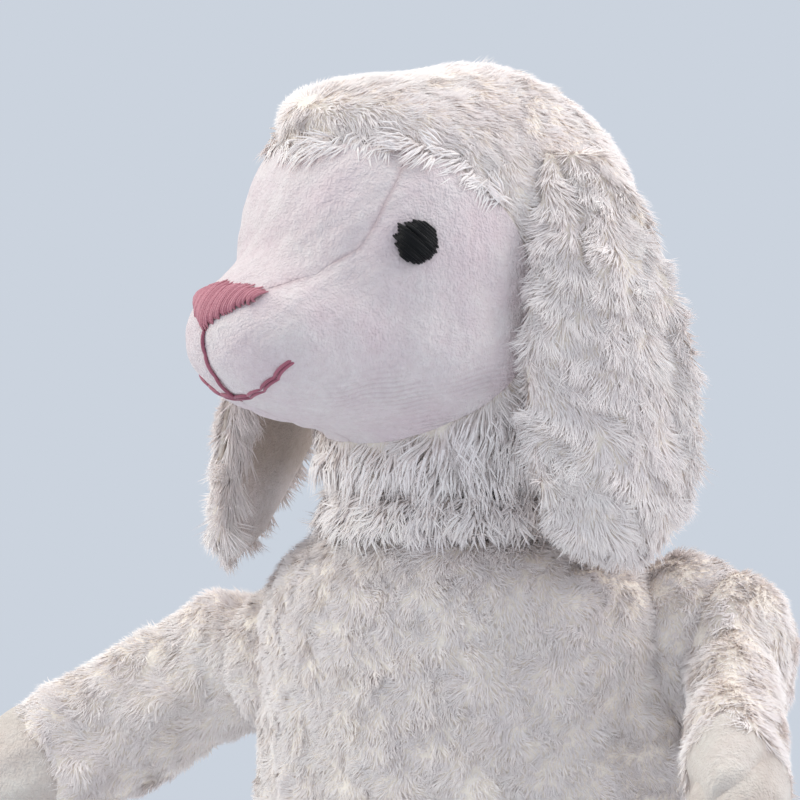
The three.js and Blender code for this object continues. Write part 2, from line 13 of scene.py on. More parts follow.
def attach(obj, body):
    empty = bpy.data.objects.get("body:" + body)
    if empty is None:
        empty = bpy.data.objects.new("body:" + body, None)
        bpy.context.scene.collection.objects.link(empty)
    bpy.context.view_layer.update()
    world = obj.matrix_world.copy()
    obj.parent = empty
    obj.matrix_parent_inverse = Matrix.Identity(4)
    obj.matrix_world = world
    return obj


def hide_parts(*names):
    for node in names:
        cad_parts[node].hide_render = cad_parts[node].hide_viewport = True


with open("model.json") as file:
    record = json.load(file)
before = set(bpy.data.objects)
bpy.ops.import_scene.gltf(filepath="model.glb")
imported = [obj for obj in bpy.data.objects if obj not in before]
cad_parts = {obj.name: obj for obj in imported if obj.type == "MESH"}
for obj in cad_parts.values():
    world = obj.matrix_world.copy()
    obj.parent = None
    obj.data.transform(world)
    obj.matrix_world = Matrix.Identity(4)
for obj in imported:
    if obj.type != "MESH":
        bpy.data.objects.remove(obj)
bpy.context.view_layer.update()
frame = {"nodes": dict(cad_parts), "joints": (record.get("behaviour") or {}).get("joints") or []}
nodes = frame["nodes"]
MM = 0.001
pivots = {joint["name"]: np.array(joint["pos_m"], dtype=float) / MM for joint in frame["joints"]}

THIN = 1.0

# Head frame: side (the puppet's left), front and up from the nod pivot, in millimetres
HEAD_PIVOT = pivots["head_nod"]
HEAD_YAW = math.radians(-25)
LOBES = (
    # front, up, length, width, rise of each lobe of the stuffed form
    (-1, 38, 40, 37, 46),
    (26, 42.5, 31, 34.5, 35.5),
    (47, 22, 29, 24.5, 17.7),
    (20, 18.7, 33.5, 36, 18),
    (0, 0, 31, 31, 31),
)
HEART = np.array((0.0, 20.0, 25.0))
LOBE_BLEND = 4.0
HALVINGS = 34
FACE_PILE = 2.5
FACE_WALL = 1.6
FACE_OVAL = {"front": 55.0, "up": 31.0, "length": 45.0, "rise": 38.0}
BROW = {"dip": 4.0, "half_width": 17.0, "starts_up": 40.0, "full_up": 60.0}
HOOD_COVER = 3.2
HOOD_EDGE_DROP = 1.7
HOOD_EDGE_WIDTH = 8.0
HOOD_ROUNDING = 2.2
FOREHEAD_FULLNESS = 2.4
HOOD_WALL = 1.4
THROAT_WAY_RADIUS = 16.0
GUSSET_SEAM = np.array(
    # front and up of the seam between forehead and cheek, in side view
    ((18, 90), (36.4, 65.4), (43.9, 53.8), (49.3, 43.1), (56.9, 36.1), (71.3, 30.7), (100, 26)),
    dtype=float,
)
NOSE = {"half_width": 12.5, "top": 35.3, "point": 22.9}
NOSE_AHEAD = 78.0
EYE = {"side": 33.5, "front": 40.5, "up": 44.5, "half_length": 5.4, "half_width": 4.9, "tilt": -40.0}
EYE_LOOKS_FROM = 20.0
EYE_PAD_RISE = 2.3
EYE_DIMPLE = {"depth": 0.9, "half_width": 8.0}
SEAM_DENTS = ({"depth": 0.2, "half_width": 1.3}, {"depth": 0.4, "half_width": 4.5})
SEAM_LINE_HALF_WIDTH = 0.45
MOUTH = {"radius": 25.5, "centre_up": 33.0, "half_angle": 50.0}

# Arms and ears by side: 1 is the puppet's left
SIDES = ((1, "left"), (-1, "right"))
ARM_ROOT = {1: pivots["arm_left_raise"], -1: pivots["arm_right_raise"]}
ARM_AIM = {1: np.array((0.36, -0.83, -0.42)), -1: np.array((-0.74, -0.38, -0.51))}
ARM_HINGE = {1: np.array((1.0, 0.0, 0.0)), -1: np.array((0.0, 1.0, 0.0))}
NECK_RUFF_FOOT = 155.5
ARM_ROOT_RADIUS = 22.0
ARM_ROOT_THICKNESS = 14.0

# Strands of fur
STRANDS_A_PIECE = 19000
ROOT_SINK = 0.6
STRAND_DEPTH = 0.55
MIDDLE_LEAST = 0.7
TIP_LEAST = 0.5
HEM_CLEARANCE = 0.3
KNIT_ROW = 1.15

# The photograph's camera, in metres
CAMERA_AZIMUTH = math.radians(28)
CAMERA_RISE = math.radians(3)
CAMERA_DISTANCE = 0.95
PICTURE_WIDTH = 0.2
TARGET_LEFT = 0.02045
TARGET_HEIGHT = 0.1845
CAMERA_RIGHT = np.array((math.cos(CAMERA_AZIMUTH), math.sin(CAMERA_AZIMUTH), 0.0))
TO_CAMERA = np.array((math.sin(CAMERA_AZIMUTH), -math.cos(CAMERA_AZIMUTH), 0.0))


def unit(vectors):
    """Rows scaled to length one."""
    return vectors / np.maximum(np.linalg.norm(vectors, axis=-1, keepdims=True), 1e-9)


def dot(a, b):
    return np.sum(a * b, axis=-1, keepdims=True)


def smooth_step(value, low, high):
    share = np.clip((value - low) / (high - low), 0, 1)
    return share * share * (3 - 2 * share)


def bell(value, centre, half_width):
    """One at the centre, falling off softly on both sides."""
    return np.exp(-((value - centre) / half_width) ** 2)


def waves(seed, wavelength, count=8):
    """A smooth random field of the place, about -1 to 1."""
    rng = np.random.default_rng(seed)
    ways = unit(rng.normal(size=(count, 3))) * (2 * math.pi / wavelength)
    ways *= rng.uniform(0.7, 1.4, size=(count, 1))
    starts = rng.uniform(0, 2 * math.pi, size=count)
    return lambda points: np.sin(points @ ways.T + starts).sum(axis=1) * math.sqrt(2 / count) * 0.7


def from_head(points):
    """Head side, front, up to the row frame, in millimetres."""
    c, s = math.cos(HEAD_YAW), math.sin(HEAD_YAW)
    side, front, up = points[:, 0], points[:, 1], points[:, 2]
    return np.stack((c * side + s * front, s * side - c * front, up), axis=1) + HEAD_PIVOT


def turn_from_head(vectors):
    base = from_head(np.zeros((1, 3)))
    return from_head(vectors) - base


def to_head(points):
    c, s = math.cos(HEAD_YAW), math.sin(HEAD_YAW)
    x, y, up = (points - HEAD_PIVOT).T
    return np.stack((c * x + s * y, s * x - c * y, up), axis=1)


# Head form


def form_distance(points):
    """Rough distance from the stuffed form, negative inside, for head points."""
    total = np.zeros(len(points))
    for front, up, length, width, rise in LOBES:
        sizes = np.array((width, length, rise), dtype=float)
        ratios = (points - np.array((0.0, front, up))) / sizes
        reach = np.linalg.norm(ratios, axis=1)
        slope = np.maximum(np.linalg.norm(ratios / sizes, axis=1), 1e-9)
        total += np.exp(np.clip(-reach * (reach - 1) / slope / LOBE_BLEND, -60, 60))
    return -LOBE_BLEND * np.log(np.maximum(total, 1e-30))


def form_reach(directions):
    """Distance from the heart to the form's skin along each direction."""
    inside = np.zeros(len(directions))
    outside = np.full(len(directions), 100.0)
    for _ in range(HALVINGS):
        middle = (inside + outside) / 2
        within = form_distance(HEART + directions * middle[:, None]) < 0
        inside = np.where(within, middle, inside)
        outside = np.where(within, outside, middle)
    return inside


def face_field(points):
    """Negative inside the oval that the hood leaves for the face, about millimetres."""
    near_middle = bell(points[:, 0], 0, BROW["half_width"])
    brow = BROW["dip"] * near_middle * smooth_step(points[:, 2], BROW["starts_up"], BROW["full_up"])
    front = (points[:, 1] - FACE_OVAL["front"]) / FACE_OVAL["length"]
    up = (points[:, 2] + brow - FACE_OVAL["up"]) / FACE_OVAL["rise"]
    return (np.hypot(front, up) - 1) * FACE_OVAL["rise"]


def gusset_field(points):
    """Distance from the gusset's seam in side view, negative on the forehead's side, in millimetres."""
    view = points[:, 1:]
    away = np.full(len(view), 99.0)
    for start, end in zip(GUSSET_SEAM[:-1], GUSSET_SEAM[1:]):
        along = end - start
        share = np.clip((view - start) @ along / (along @ along), 0, 1)
        away = np.minimum(away, np.linalg.norm(view - start - share[:, None] * along, axis=1))
    seam_up = np.interp(view[:, 0], GUSSET_SEAM[:, 0], GUSSET_SEAM[:, 1])
    return np.where(view[:, 1] > seam_up, -away, away)


def drop_to_form(points, along, cover):
    """Moves head points along a direction to where they lie a cover's depth over the form."""
    low = np.full(len(points), -40.0)
    high = np.full(len(points), 40.0)
    for _ in range(HALVINGS):
        middle = (low + high) / 2
        within = form_distance(points + along * middle[:, None]) < cover
        low = np.where(within, middle, low)
        high = np.where(within, high, middle)
    return points + along * low[:, None]


# Mesh helpers


def link_object(name, data):
    obj = bpy.data.objects.new(name, data)
    bpy.context.scene.collection.objects.link(obj)
    return obj


def object_from(bm, name):
    """An object of a bmesh, which is freed."""
    mesh = bpy.data.meshes.new(name)
    bm.to_mesh(mesh)
    bm.free()
    return link_object(name, mesh)


def finish_piece(obj, material, body, node=None):
    """A piece's finish, the node it stands for and the body it rides on."""
    obj.data.materials.append(material)
    if node:
        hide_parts(node)
    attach(obj, body)


def mesh_object(name, points, corners, smooth=True):
    """An object at the origin from points in millimetres and triangles."""
    mesh = bpy.data.meshes.new(name)
    mesh.vertices.add(len(points))
    mesh.vertices.foreach_set("co", (np.asarray(points) * MM).astype(np.float32).ravel())
    mesh.loops.add(corners.size)
    mesh.loops.foreach_set("vertex_index", corners.astype(np.int32).ravel())
    mesh.polygons.add(len(corners))
    mesh.polygons.foreach_set("loop_start", np.arange(0, corners.size, 3, dtype=np.int32))
    mesh.update(calc_edges=True)
    if smooth:
        mesh.shade_smooth()
    else:
        mesh.shade_flat()
    return link_object(name, mesh)


def set_values(mesh, name, values):
    layer = mesh.attributes.new(name, "FLOAT", "POINT")
    layer.data.foreach_set("value", np.asarray(values, dtype=np.float32))


def points_of(mesh):
    points = np.empty(len(mesh.vertices) * 3, dtype=np.float32)
    mesh.vertices.foreach_get("co", points)
    return points.reshape(-1, 3).astype(float) / MM


def normals_of(mesh):
    normals = np.empty(len(mesh.vertices) * 3, dtype=np.float32)
    mesh.vertices.foreach_get("normal", normals)
    return normals.reshape(-1, 3).astype(float)


def corners_of(mesh):
    mesh.calc_loop_triangles()
    corners = np.empty(len(mesh.loop_triangles) * 3, dtype=np.int32)
    mesh.loop_triangles.foreach_get("vertices", corners)
    return corners.reshape(-1, 3)


def move_points(mesh, points):
    mesh.vertices.foreach_set("co", (points * MM).astype(np.float32).ravel())
    mesh.update()


def skin_from(name, *node_names, voxel=2.0, smooth=6):
    """A soft closed skin over copies of CAD nodes, at the origin of the row frame."""
    bm = bmesh.new()
    for node_name in node_names:
        node = nodes[node_name]
        part = node.data.copy()
        part.transform(node.matrix_world)
        bm.from_mesh(part)
        bpy.data.meshes.remove(part)
    bmesh.ops.remove_doubles(bm, verts=bm.verts, dist=0.01 * MM)
    obj = object_from(bm, name)
    remesh = obj.modifiers.new("skin", "REMESH")
    remesh.mode = "VOXEL"
    remesh.voxel_size = voxel * MM
    soften = obj.modifiers.new("soften", "SMOOTH")
    soften.factor = 0.5
    soften.iterations = smooth
    bake_modifiers(obj)
    return obj


def bake_modifiers(obj):
    depsgraph = bpy.context.evaluated_depsgraph_get()
    mesh = bpy.data.meshes.new_from_object(obj.evaluated_get(depsgraph))
    old = obj.data
    obj.modifiers.clear()
    obj.data = mesh
    mesh.name = obj.name
    bpy.data.meshes.remove(old)
    mesh.shade_smooth()


def swell(obj, amount):
    """Moves a skin along its normals, by a number or one number a point, in millimetres."""
    mesh = obj.data
    points = points_of(mesh)
    amount = np.broadcast_to(np.asarray(amount, dtype=float), (len(points),))
    move_points(mesh, points + normals_of(mesh) * amount[:, None])


# Fur. A look gives strands a square millimetre, their length and width in millimetres, their lift off the
# skin in degrees and the share of it that the tip droops, the swing of the combing in radians over a swirl
# in millimetres, each strand's own stray, the strands a lock, how far a lock pulls them together, whether
# strands bend halfway, and where they are longer.


def scatter(obj, a_square_mm, density, seed):
    """Roots and normals spread over a skin. density takes points and normals and gives 0 to 1."""
    rng = np.random.default_rng(seed)
    mesh = obj.data
    points, normals, corners = points_of(mesh), normals_of(mesh), corners_of(mesh)
    a, b, c = (points[corners[:, i]] for i in range(3))
    facing = unit(np.cross(b - a, c - a))
    area = np.linalg.norm(np.cross(b - a, c - a), axis=1) / 2
    weight = area * density((a + b + c) / 3, facing)
    count = int(weight.sum() * a_square_mm)
    chosen = rng.choice(len(corners), size=count, p=weight / weight.sum())
    u = np.sqrt(rng.random((count, 1)))
    v = rng.random((count, 1))
    shares = np.concatenate((1 - u, u * (1 - v), u * v), axis=1)
    roots = sum(points[corners[chosen, i]] * shares[:, i:i + 1] for i in range(3))
    ways = sum(normals[corners[chosen, i]] * shares[:, i:i + 1] for i in range(3))
    return roots, unit(ways)


def nearest(places, seeds):
    """Index of the nearest seed to each place."""
    tree = KDTree(len(seeds))
    for index, seed in enumerate(seeds):
        tree.insert(seed, index)
    tree.balance()
    return np.array([tree.find(place)[1] for place in places])


def comb_strands(roots, normals, comb, look, seed):
    """Middle and tip of each strand: combed, waved, and drawn together into locks."""
    rng = np.random.default_rng(seed)
    count = len(roots)
    flat = unit(comb - dot(comb, normals) * normals)
    swing = look["swing"] * waves(seed + 1, look["swirl"])(roots)
    swing += look["swing"] * 0.6 * waves(seed + 2, look["swirl"] * 0.37)(roots)
    swing += rng.normal(0, look["stray"], count)
    across = np.cross(normals, flat)
    way = flat * np.cos(swing)[:, None] + across * np.sin(swing)[:, None]
    length = look["length"] * (1 + 0.22 * waves(seed + 3, 9.0)(roots) + rng.normal(0, 0.12, count))
    length = np.clip(length, 0.4 * look["length"], 1.5 * look["length"])[:, None]
    if "longer" in look:
        length = length * look["longer"](roots)[:, None]
    lift = np.radians(look["lift"]) * (1 + 0.35 * waves(seed + 4, 7.0)(roots) + rng.normal(0, 0.15, count))
    lift = np.clip(lift, 0.15, 1.35)[:, None]
    droop = lift * look["droop"]
    rise = way * np.cos(lift) + normals * np.sin(lift)
    fall = way * np.cos(lift - droop) + normals * np.sin(lift - droop)
    curl = np.cross(normals, way) * rng.normal(0, 0.09, (count, 1)) * length
    middle = roots + rise * length * 0.5 + curl
    tip = middle + fall * length * 0.5 - curl * 0.5
    heads = rng.choice(count, size=max(1, int(count / look["lock"])), replace=False)
    own = heads[nearest(roots, roots[heads])]
    pull = np.clip(look["pull"] * rng.normal(1, 0.25, (count, 1)), 0, 0.95)
    tip = tip + (tip[own] - tip) * pull
    middle = middle + (middle[own] - middle) * pull * 0.5
    for place, least in ((middle, MIDDLE_LEAST), (tip, TIP_LEAST)):
        low = np.minimum(dot(place - roots, normals) - least, 0)
        place -= low * normals
        place[:, 2] = np.maximum(place[:, 2], HEM_CLEARANCE)
    tint = rng.random(count) * 0.5 + rng.random(count)[own] * 0.5
    return middle, tip, tint


TRIANGLE_SIDES = ((0, 1), (1, 2), (2, 0))
STRAND_MAP = np.array(((0.2, 0.1), (0.8, 0.1), (0.5, 0.1), (0.2, 0.5), (0.8, 0.5), (0.5, 0.5), (0.5, 0.9)))
STRAND_SHADES = (0.0, 0.0, 0.0, 0.62, 0.62, 0.62, 1.0)


def strand_mesh(name, roots, normals, middle, tip, tint, width, bent):
    """Closed three-sided strands: a ring at the root, a ring halfway if they bend, and a tip."""
    count = len(roots)
    along = unit(tip - roots)
    side = unit(np.cross(along, normals))
    over = np.cross(side, along)
    half = (width / 2)[:, None]
    sunk = roots - normals * ROOT_SINK
    rings = [(sunk, 0.8), (middle, 1.0)] if bent else [(sunk, 1.0)]
    places = []
    for place, scale in rings:
        places.append(place - side * half * scale)
        places.append(place + side * half * scale)
        places.append(place + over * half * scale * STRAND_DEPTH)
    points = np.stack(places + [tip], axis=1).reshape(-1, 3)
    last = len(places)
    faces = [(0, 2, 1)]
    for a, b in TRIANGLE_SIDES:
        if bent:
            faces += [(a, b, b + 3), (a, b + 3, a + 3)]
        faces.append((a + last - 3, b + last - 3, last))
    corners = np.array(faces)[None] + (np.arange(count) * (last + 1))[:, None, None]
    corners = np.ascontiguousarray(corners.reshape(-1, 3)[:, ::-1])
    obj = mesh_object(name, points, corners, smooth=False)
    mesh = obj.data
    set_values(mesh, "shade", np.tile(STRAND_SHADES[:last] + STRAND_SHADES[-1:], count))
    set_values(mesh, "tint", np.repeat(tint, last + 1))
    lay_out_strands(mesh, count, corners, np.concatenate((STRAND_MAP[:last], STRAND_MAP[-1:])))
    return obj


def lay_out_strands(mesh, count, corners, spots):
    """One square of the map a strand."""
    across = math.ceil(math.sqrt(count))
    cell = np.stack((np.arange(count) % across, np.arange(count) // across), axis=1)
    places = ((cell[:, None, :] + spots[None]) / across).reshape(-1, 2)
    layer = mesh.uv_layers.new(name="OFBake")
    layer.data.foreach_set("uv", places[corners.ravel()].astype(np.float32).ravel())


def grow_fur(name, obj, body, material, look, comb, density, seed):
    """Fur over a skin, in pieces of a bounded size that ride on one body."""
    roots, normals = scatter(obj, look["a_square_mm"] * THIN, density, seed)
    middle, tip, tint = comb_strands(roots, normals, comb(roots, normals), look, seed)
    rng = np.random.default_rng(seed + 9)
    width = look["width"] * rng.uniform(0.75, 1.25, len(roots)) / math.sqrt(THIN)
    bent = look["bent"]
    pieces = math.ceil(len(roots) / (STRANDS_A_PIECE if bent else 2.5 * STRANDS_A_PIECE))
    share = np.arange(len(roots)) % pieces
    for index in range(pieces):
        pick = share == index
        fur = strand_mesh(f"{name}_fur_{index + 1}", roots[pick], normals[pick], middle[pick], tip[pick],
                          tint[pick], width[pick], bent)
        finish_piece(fur, material, body)


# Finishes


def new_material(name):
    material = bpy.data.materials.new(name)
    material.use_nodes = True
    tree = material.node_tree
    shader = tree.nodes["Principled BSDF"]
    return material, tree, shader


def add(tree, kind, **values):
    node = tree.nodes.new(kind)
    for key, value in values.items():
        setattr(node, key, value)
    return node


def mixed(tree, share, low, high, blend="MIX"):
    """Colour between two colours or sockets."""
    node = add(tree, "ShaderNodeMix", data_type="RGBA", blend_type=blend)
    for socket, value in ((node.inputs[0], share), (node.inputs[6], low), (node.inputs[7], high)):
        if isinstance(value, bpy.types.NodeSocket):
            tree.links.new(value, socket)
        else:
            socket.default_value = value
    return node.outputs[2]


def grain_group():
    """Shared mottling of the finishes: noise on the piece's own coordinates, cut to a mask."""
    tree = bpy.data.node_groups.new("fibre_grain", "ShaderNodeTree")
    for name in ("Scale", "Detail", "Low", "High"):
        tree.interface.new_socket(name, in_out="INPUT", socket_type="NodeSocketFloat")
    tree.interface.new_socket("Mask", in_out="OUTPUT", socket_type="NodeSocketFloat")
    given = add(tree, "NodeGroupInput")
    result = add(tree, "NodeGroupOutput")
    place = add(tree, "ShaderNodeTexCoord")
    noise = add(tree, "ShaderNodeTexNoise")
    cut = add(tree, "ShaderNodeMapRange")
    tree.links.new(place.outputs["Object"], noise.inputs["Vector"])
    tree.links.new(given.outputs["Scale"], noise.inputs["Scale"])
    tree.links.new(given.outputs["Detail"], noise.inputs["Detail"])
    tree.links.new(noise.outputs["Fac"], cut.inputs["Value"])
    tree.links.new(given.outputs["Low"], cut.inputs["From Min"])
    tree.links.new(given.outputs["High"], cut.inputs["From Max"])
    tree.links.new(cut.outputs["Result"], result.inputs["Mask"])
    return tree


FIBRE_GRAIN = grain_group()


def grain(tree, scale, detail, low, high):
    node = add(tree, "ShaderNodeGroup", node_tree=FIBRE_GRAIN)
    for name, value in (("Scale", scale), ("Detail", detail), ("Low", low), ("High", high)):
        node.inputs[name].default_value = value
    return node.outputs["Mask"]


def stepped(tree, value, low, high, out_low=0.0, out_high=1.0):
    node = add(tree, "ShaderNodeMapRange")
    node.inputs["From Min"].default_value = low
    node.inputs["From Max"].default_value = high
    node.inputs["To Min"].default_value = out_low
    node.inputs["To Max"].default_value = out_high
    tree.links.new(value, node.inputs["Value"])
    return node.outputs["Result"]


def attribute_of(tree, name):
    return add(tree, "ShaderNodeAttribute", attribute_name=name).outputs["Fac"]


def bumped(tree, shader, height, strength, distance):
    bump = add(tree, "ShaderNodeBump")
    bump.inputs["Strength"].default_value = strength
    bump.inputs["Distance"].default_value = distance
    tree.links.new(height, bump.inputs["Height"])
    tree.links.new(bump.outputs["Normal"], shader.inputs["Normal"])


def colour(red, green, blue):
    """A screen colour of 0 to 255 as the renderer's linear light."""
    def linear(value):
        value /= 255
        return value / 12.92 if value <= 0.04045 else ((value + 0.055) / 1.055) ** 2.4
    return (linear(red), linear(green), linear(blue), 1.0)


def fur_material(name, root, tip, blush):
    """Long pile, deeper in colour at its roots, which is painted shade of the crevices between strands,
    and in loose patches.
    """
    material, tree, shader = new_material(name)
    # Painted shade: each strand darkens from its tip towards its root.
    along = stepped(tree, attribute_of(tree, "shade"), 0.0, 0.7)
    pale = mixed(tree, attribute_of(tree, "tint"), tip, blush)
    patch = stepped(tree, grain(tree, 45.0, 3.0, 0.38, 0.68), 0.0, 1.0, 0.0, 0.6)
    patched = mixed(tree, patch, pale, blush)
    tree.links.new(mixed(tree, along, root, patched), shader.inputs["Base Color"])
    shader.inputs["Roughness"].default_value = 0.85
    shader.inputs["Specular IOR Level"].default_value = 0.1
    return material


def skin_material(name, low, high):
    """Plain cloth with a fine weave."""
    material, tree, shader = new_material(name)
    weave = grain(tree, 900.0, 4.0, 0.3, 0.7)
    tree.links.new(mixed(tree, weave, low, high), shader.inputs["Base Color"])
    shader.inputs["Roughness"].default_value = 0.95
    shader.inputs["Specular IOR Level"].default_value = 0.1
    bumped(tree, shader, weave, 0.6, 0.0004)
    return material


def sum_of(tree, first, second, kind="ADD"):
    """A sum or product of sockets or numbers."""
    node = add(tree, "ShaderNodeMath", operation=kind)
    for socket, value in zip(node.inputs, (first, second)):
        if isinstance(value, bpy.types.NodeSocket):
            tree.links.new(value, socket)
        else:
            socket.default_value = value
    return node.outputs["Value"]


def velour_material(name, base, blush, seam):
    """Short pile: soft brushed patches, fine grain, seam lines and knit rows where they show through. The
    seam values also carry painted shade in the hoofs' folds and over the ear linings' tops.
    """
    material, tree, shader = new_material(name)
    patch = grain(tree, 75.0, 3.0, 0.38, 0.68)
    pile = grain(tree, 1700.0, 3.0, 0.25, 0.75)
    tufts = grain(tree, 520.0, 2.0, 0.3, 0.7)
    phase = sum_of(tree, attribute_of(tree, "row"), 2 * math.pi / KNIT_ROW, "MULTIPLY")
    wave = add(tree, "ShaderNodeMath", operation="SINE")
    tree.links.new(phase, wave.inputs[0])
    knit = sum_of(tree, wave.outputs["Value"], attribute_of(tree, "knit"), "MULTIPLY")
    soft = mixed(tree, patch, base, blush)
    piled = mixed(tree, stepped(tree, pile, 0.0, 1.0, 0.0, 0.4), soft, blush)
    tufted = mixed(tree, stepped(tree, tufts, 0.0, 1.0, 0.0, 0.22), piled, seam)
    rowed = mixed(tree, stepped(tree, knit, 0.0, 1.0, 0.0, 0.3), tufted, seam)
    # Seam values darken towards the seam colour: seam lines on the face, painted shade on the hoofs and
    # ear linings.
    line = stepped(tree, attribute_of(tree, "seam"), 0.0, 1.0, 0.0, 0.6)
    tree.links.new(mixed(tree, line, rowed, seam), shader.inputs["Base Color"])
    shader.inputs["Roughness"].default_value = 0.9
    shader.inputs["Specular IOR Level"].default_value = 0.12
    shader.inputs["Sheen Weight"].default_value = 0.3
    shader.inputs["Sheen Roughness"].default_value = 0.45
    pile_height = sum_of(tree, pile, sum_of(tree, tufts, -0.8, "MULTIPLY"))
    height = sum_of(tree, pile_height, sum_of(tree, knit, -0.5, "MULTIPLY"))
    bumped(tree, shader, height, 0.6, 0.0007)
    return material


def thread_material(name, deep, light, roughness, sheen, shine=0.5):
    """Satin-stitch thread, each thread a little lighter or darker."""
    material, tree, shader = new_material(name)
    along = attribute_of(tree, "tint")
    fibre = grain(tree, 2600.0, 2.0, 0.3, 0.7)
    shade = mixed(tree, along, deep, light)
    fibred = mixed(tree, stepped(tree, fibre, 0.0, 1.0, 0.0, 0.5), shade, light)
    tree.links.new(fibred, shader.inputs["Base Color"])
    shader.inputs["Roughness"].default_value = roughness
    shader.inputs["Sheen Weight"].default_value = sheen
    shader.inputs["Specular IOR Level"].default_value = shine
    bumped(tree, shader, fibre, 0.5, 0.0002)
    return material


# Root colours are deeper than the tips: painted shade of the crevices in the pile.
fur_cream = fur_material(
    "fur_cream", root=colour(246, 235, 229), tip=colour(253, 248, 243), blush=colour(249, 240, 238))
# A darker copy of the cream fur for the torso and shoulders: painted shade.
fur_glove_painted_shade = fur_material(
    "fur_glove_painted_shade", root=colour(240, 229, 223), tip=colour(248, 242, 237), blush=colour(243, 234, 232))
# The backing's beige, deeper than the fur's tips, is painted shade of the depth under the pile.
backing = skin_material("fur_backing", colour(238, 226, 213), colour(246, 236, 225))
face_velour = velour_material(
    "face_velour", base=colour(238, 228, 226), blush=colour(231, 214, 216), seam=colour(200, 173, 175))
# The hoof's seam colour is painted shade for its folds.
hoof_velour = velour_material(
    "hoof_velour", base=colour(230, 222, 213), blush=colour(223, 211, 203), seam=colour(186, 164, 150))
# The lining's deep brown seam colour is partly a beige cloth, partly painted shade of the head's shadow
# over the ear's top.
lining_velour = velour_material(
    "lining_velour", base=colour(250, 239, 235), blush=colour(245, 231, 227), seam=colour(158, 130, 100))
jersey = skin_material("cotton_jersey", colour(226, 218, 205), colour(236, 229, 218))
filling = skin_material("wool_filling", colour(228, 220, 206), colour(240, 234, 224))
black_thread = thread_material("black_thread", colour(3, 3, 4), colour(12, 12, 15), 0.4, 0.0, 0.18)
rose_thread = thread_material("rose_thread", colour(160, 84, 100), colour(200, 130, 142), 0.5, 0.15)
mouth_thread = thread_material("mouth_thread", colour(138, 66, 86), colour(170, 96, 114), 0.5, 0.15)


# Head covers


def split_where(bm, field):
    """Cuts edges into the mesh along the line where a field of the head's points is nought."""
    bm.verts.index_update()
    values = field(np.array([vert.co[:] for vert in bm.verts]))
    fresh = []
    for edge in list(bm.edges):
        start, end = edge.verts
        low, high = values[start.index], values[end.index]
        if low * high < 0:
            fresh.append(bmesh.utils.edge_split(edge, start, low / (low - high))[1])
    bmesh.ops.connect_verts(bm, verts=fresh)


def cut_form(level):
    """Points and triangles of the form, with edges along the hood's opening and every face seam."""
    bm = bmesh.new()
    bmesh.ops.create_icosphere(bm, subdivisions=level, radius=1.0)
    ways = unit(np.array([vert.co[:] for vert in bm.verts]))
    places = HEART + ways * form_reach(ways)[:, None]
    for vert, place in zip(bm.verts, places):
        vert.co = place
    split_where(bm, face_field)
    split_where(bm, gusset_field)
    split_where(bm, lambda points: points[:, 0])
    split_where(bm, lambda points: points[:, 1])
    bmesh.ops.triangulate(bm, faces=bm.faces)
    bm.verts.index_update()
    points = np.array([vert.co[:] for vert in bm.verts])
    corners = np.array([[vert.index for vert in face.verts] for face in bm.faces])
    bm.free()
    return points, corners


def form_normals(points):
    step = 0.2
    slopes = []
    for axis in np.eye(3) * step:
        slopes.append(form_distance(points + axis) - form_distance(points - axis))
    return unit(np.stack(slopes, axis=1))


def closed_shell(outer, inner, corners):
    """Two like skins joined along their open edge."""
    count = len(outer)
    edges = np.concatenate([corners[:, [a, b]] for a, b in TRIANGLE_SIDES])
    keys = np.sort(edges, axis=1)
    _, first, times = np.unique(keys, axis=0, return_index=True, return_counts=True)
    rim = edges[first[times == 1]]
    wall = np.concatenate((
        np.stack((rim[:, 1], rim[:, 0], rim[:, 0] + count), axis=1),
        np.stack((rim[:, 1], rim[:, 0] + count, rim[:, 1] + count), axis=1),
    ))
    return np.concatenate((outer, inner)), np.concatenate((corners, corners[:, ::-1] + count, wall))


def head_piece(name, form, wanted, cover, wall, dent=None):
    """A cover over part of the form, from a test of the triangles' middles."""
    points, corners = form
    pick = corners[wanted(points[corners].mean(axis=1))]
    used, pick = np.unique(pick, return_inverse=True)
    pick = pick.reshape(-1, 3)
    places = points[used]
    normals = form_normals(places)
    a, b, c = (from_head(places)[pick[:, i]] for i in range(3))
    if np.sum(np.cross(b - a, c - a) * turn_from_head(normals)[pick[:, 0]]) < 0:
        pick = pick[:, ::-1]
    depth = cover + (dent(places) if dent else 0.0)
    depth = np.broadcast_to(depth, (len(places),))[:, None]
    outer = from_head(places + normals * depth)
    inner = from_head(places + normals * (depth - wall))
    shell, faces = closed_shell(outer, inner, pick)
    obj = mesh_object(name, shell, faces)
    return obj, np.concatenate((places, places))


def seam_distance(points):
    """Distance from the nearest seam of the face, about millimetres."""
    gusset = gusset_field(points)
    middle = np.where(gusset > 0, np.abs(points[:, 0]), 99.0)
    return np.minimum(np.abs(gusset), middle)


def face_dent(points):
    """The pile sinks towards the seams and dimples round the eyes."""
    near = seam_distance(points)
    dent = np.zeros(len(points))
    for groove in SEAM_DENTS:
        dent -= groove["depth"] * bell(near, 0, groove["half_width"])
    ripple = 0.18 * waves(71, 12.0)(points) + 0.12 * waves(72, 5.5)(points)
    for side in (1, -1):
        spot = np.array((side * EYE["side"], EYE["front"], EYE["up"]))
        from_eye = np.linalg.norm(points - spot, axis=1)
        dent -= EYE_DIMPLE["depth"] * bell(from_eye, 0, EYE_DIMPLE["half_width"])
    return dent + ripple


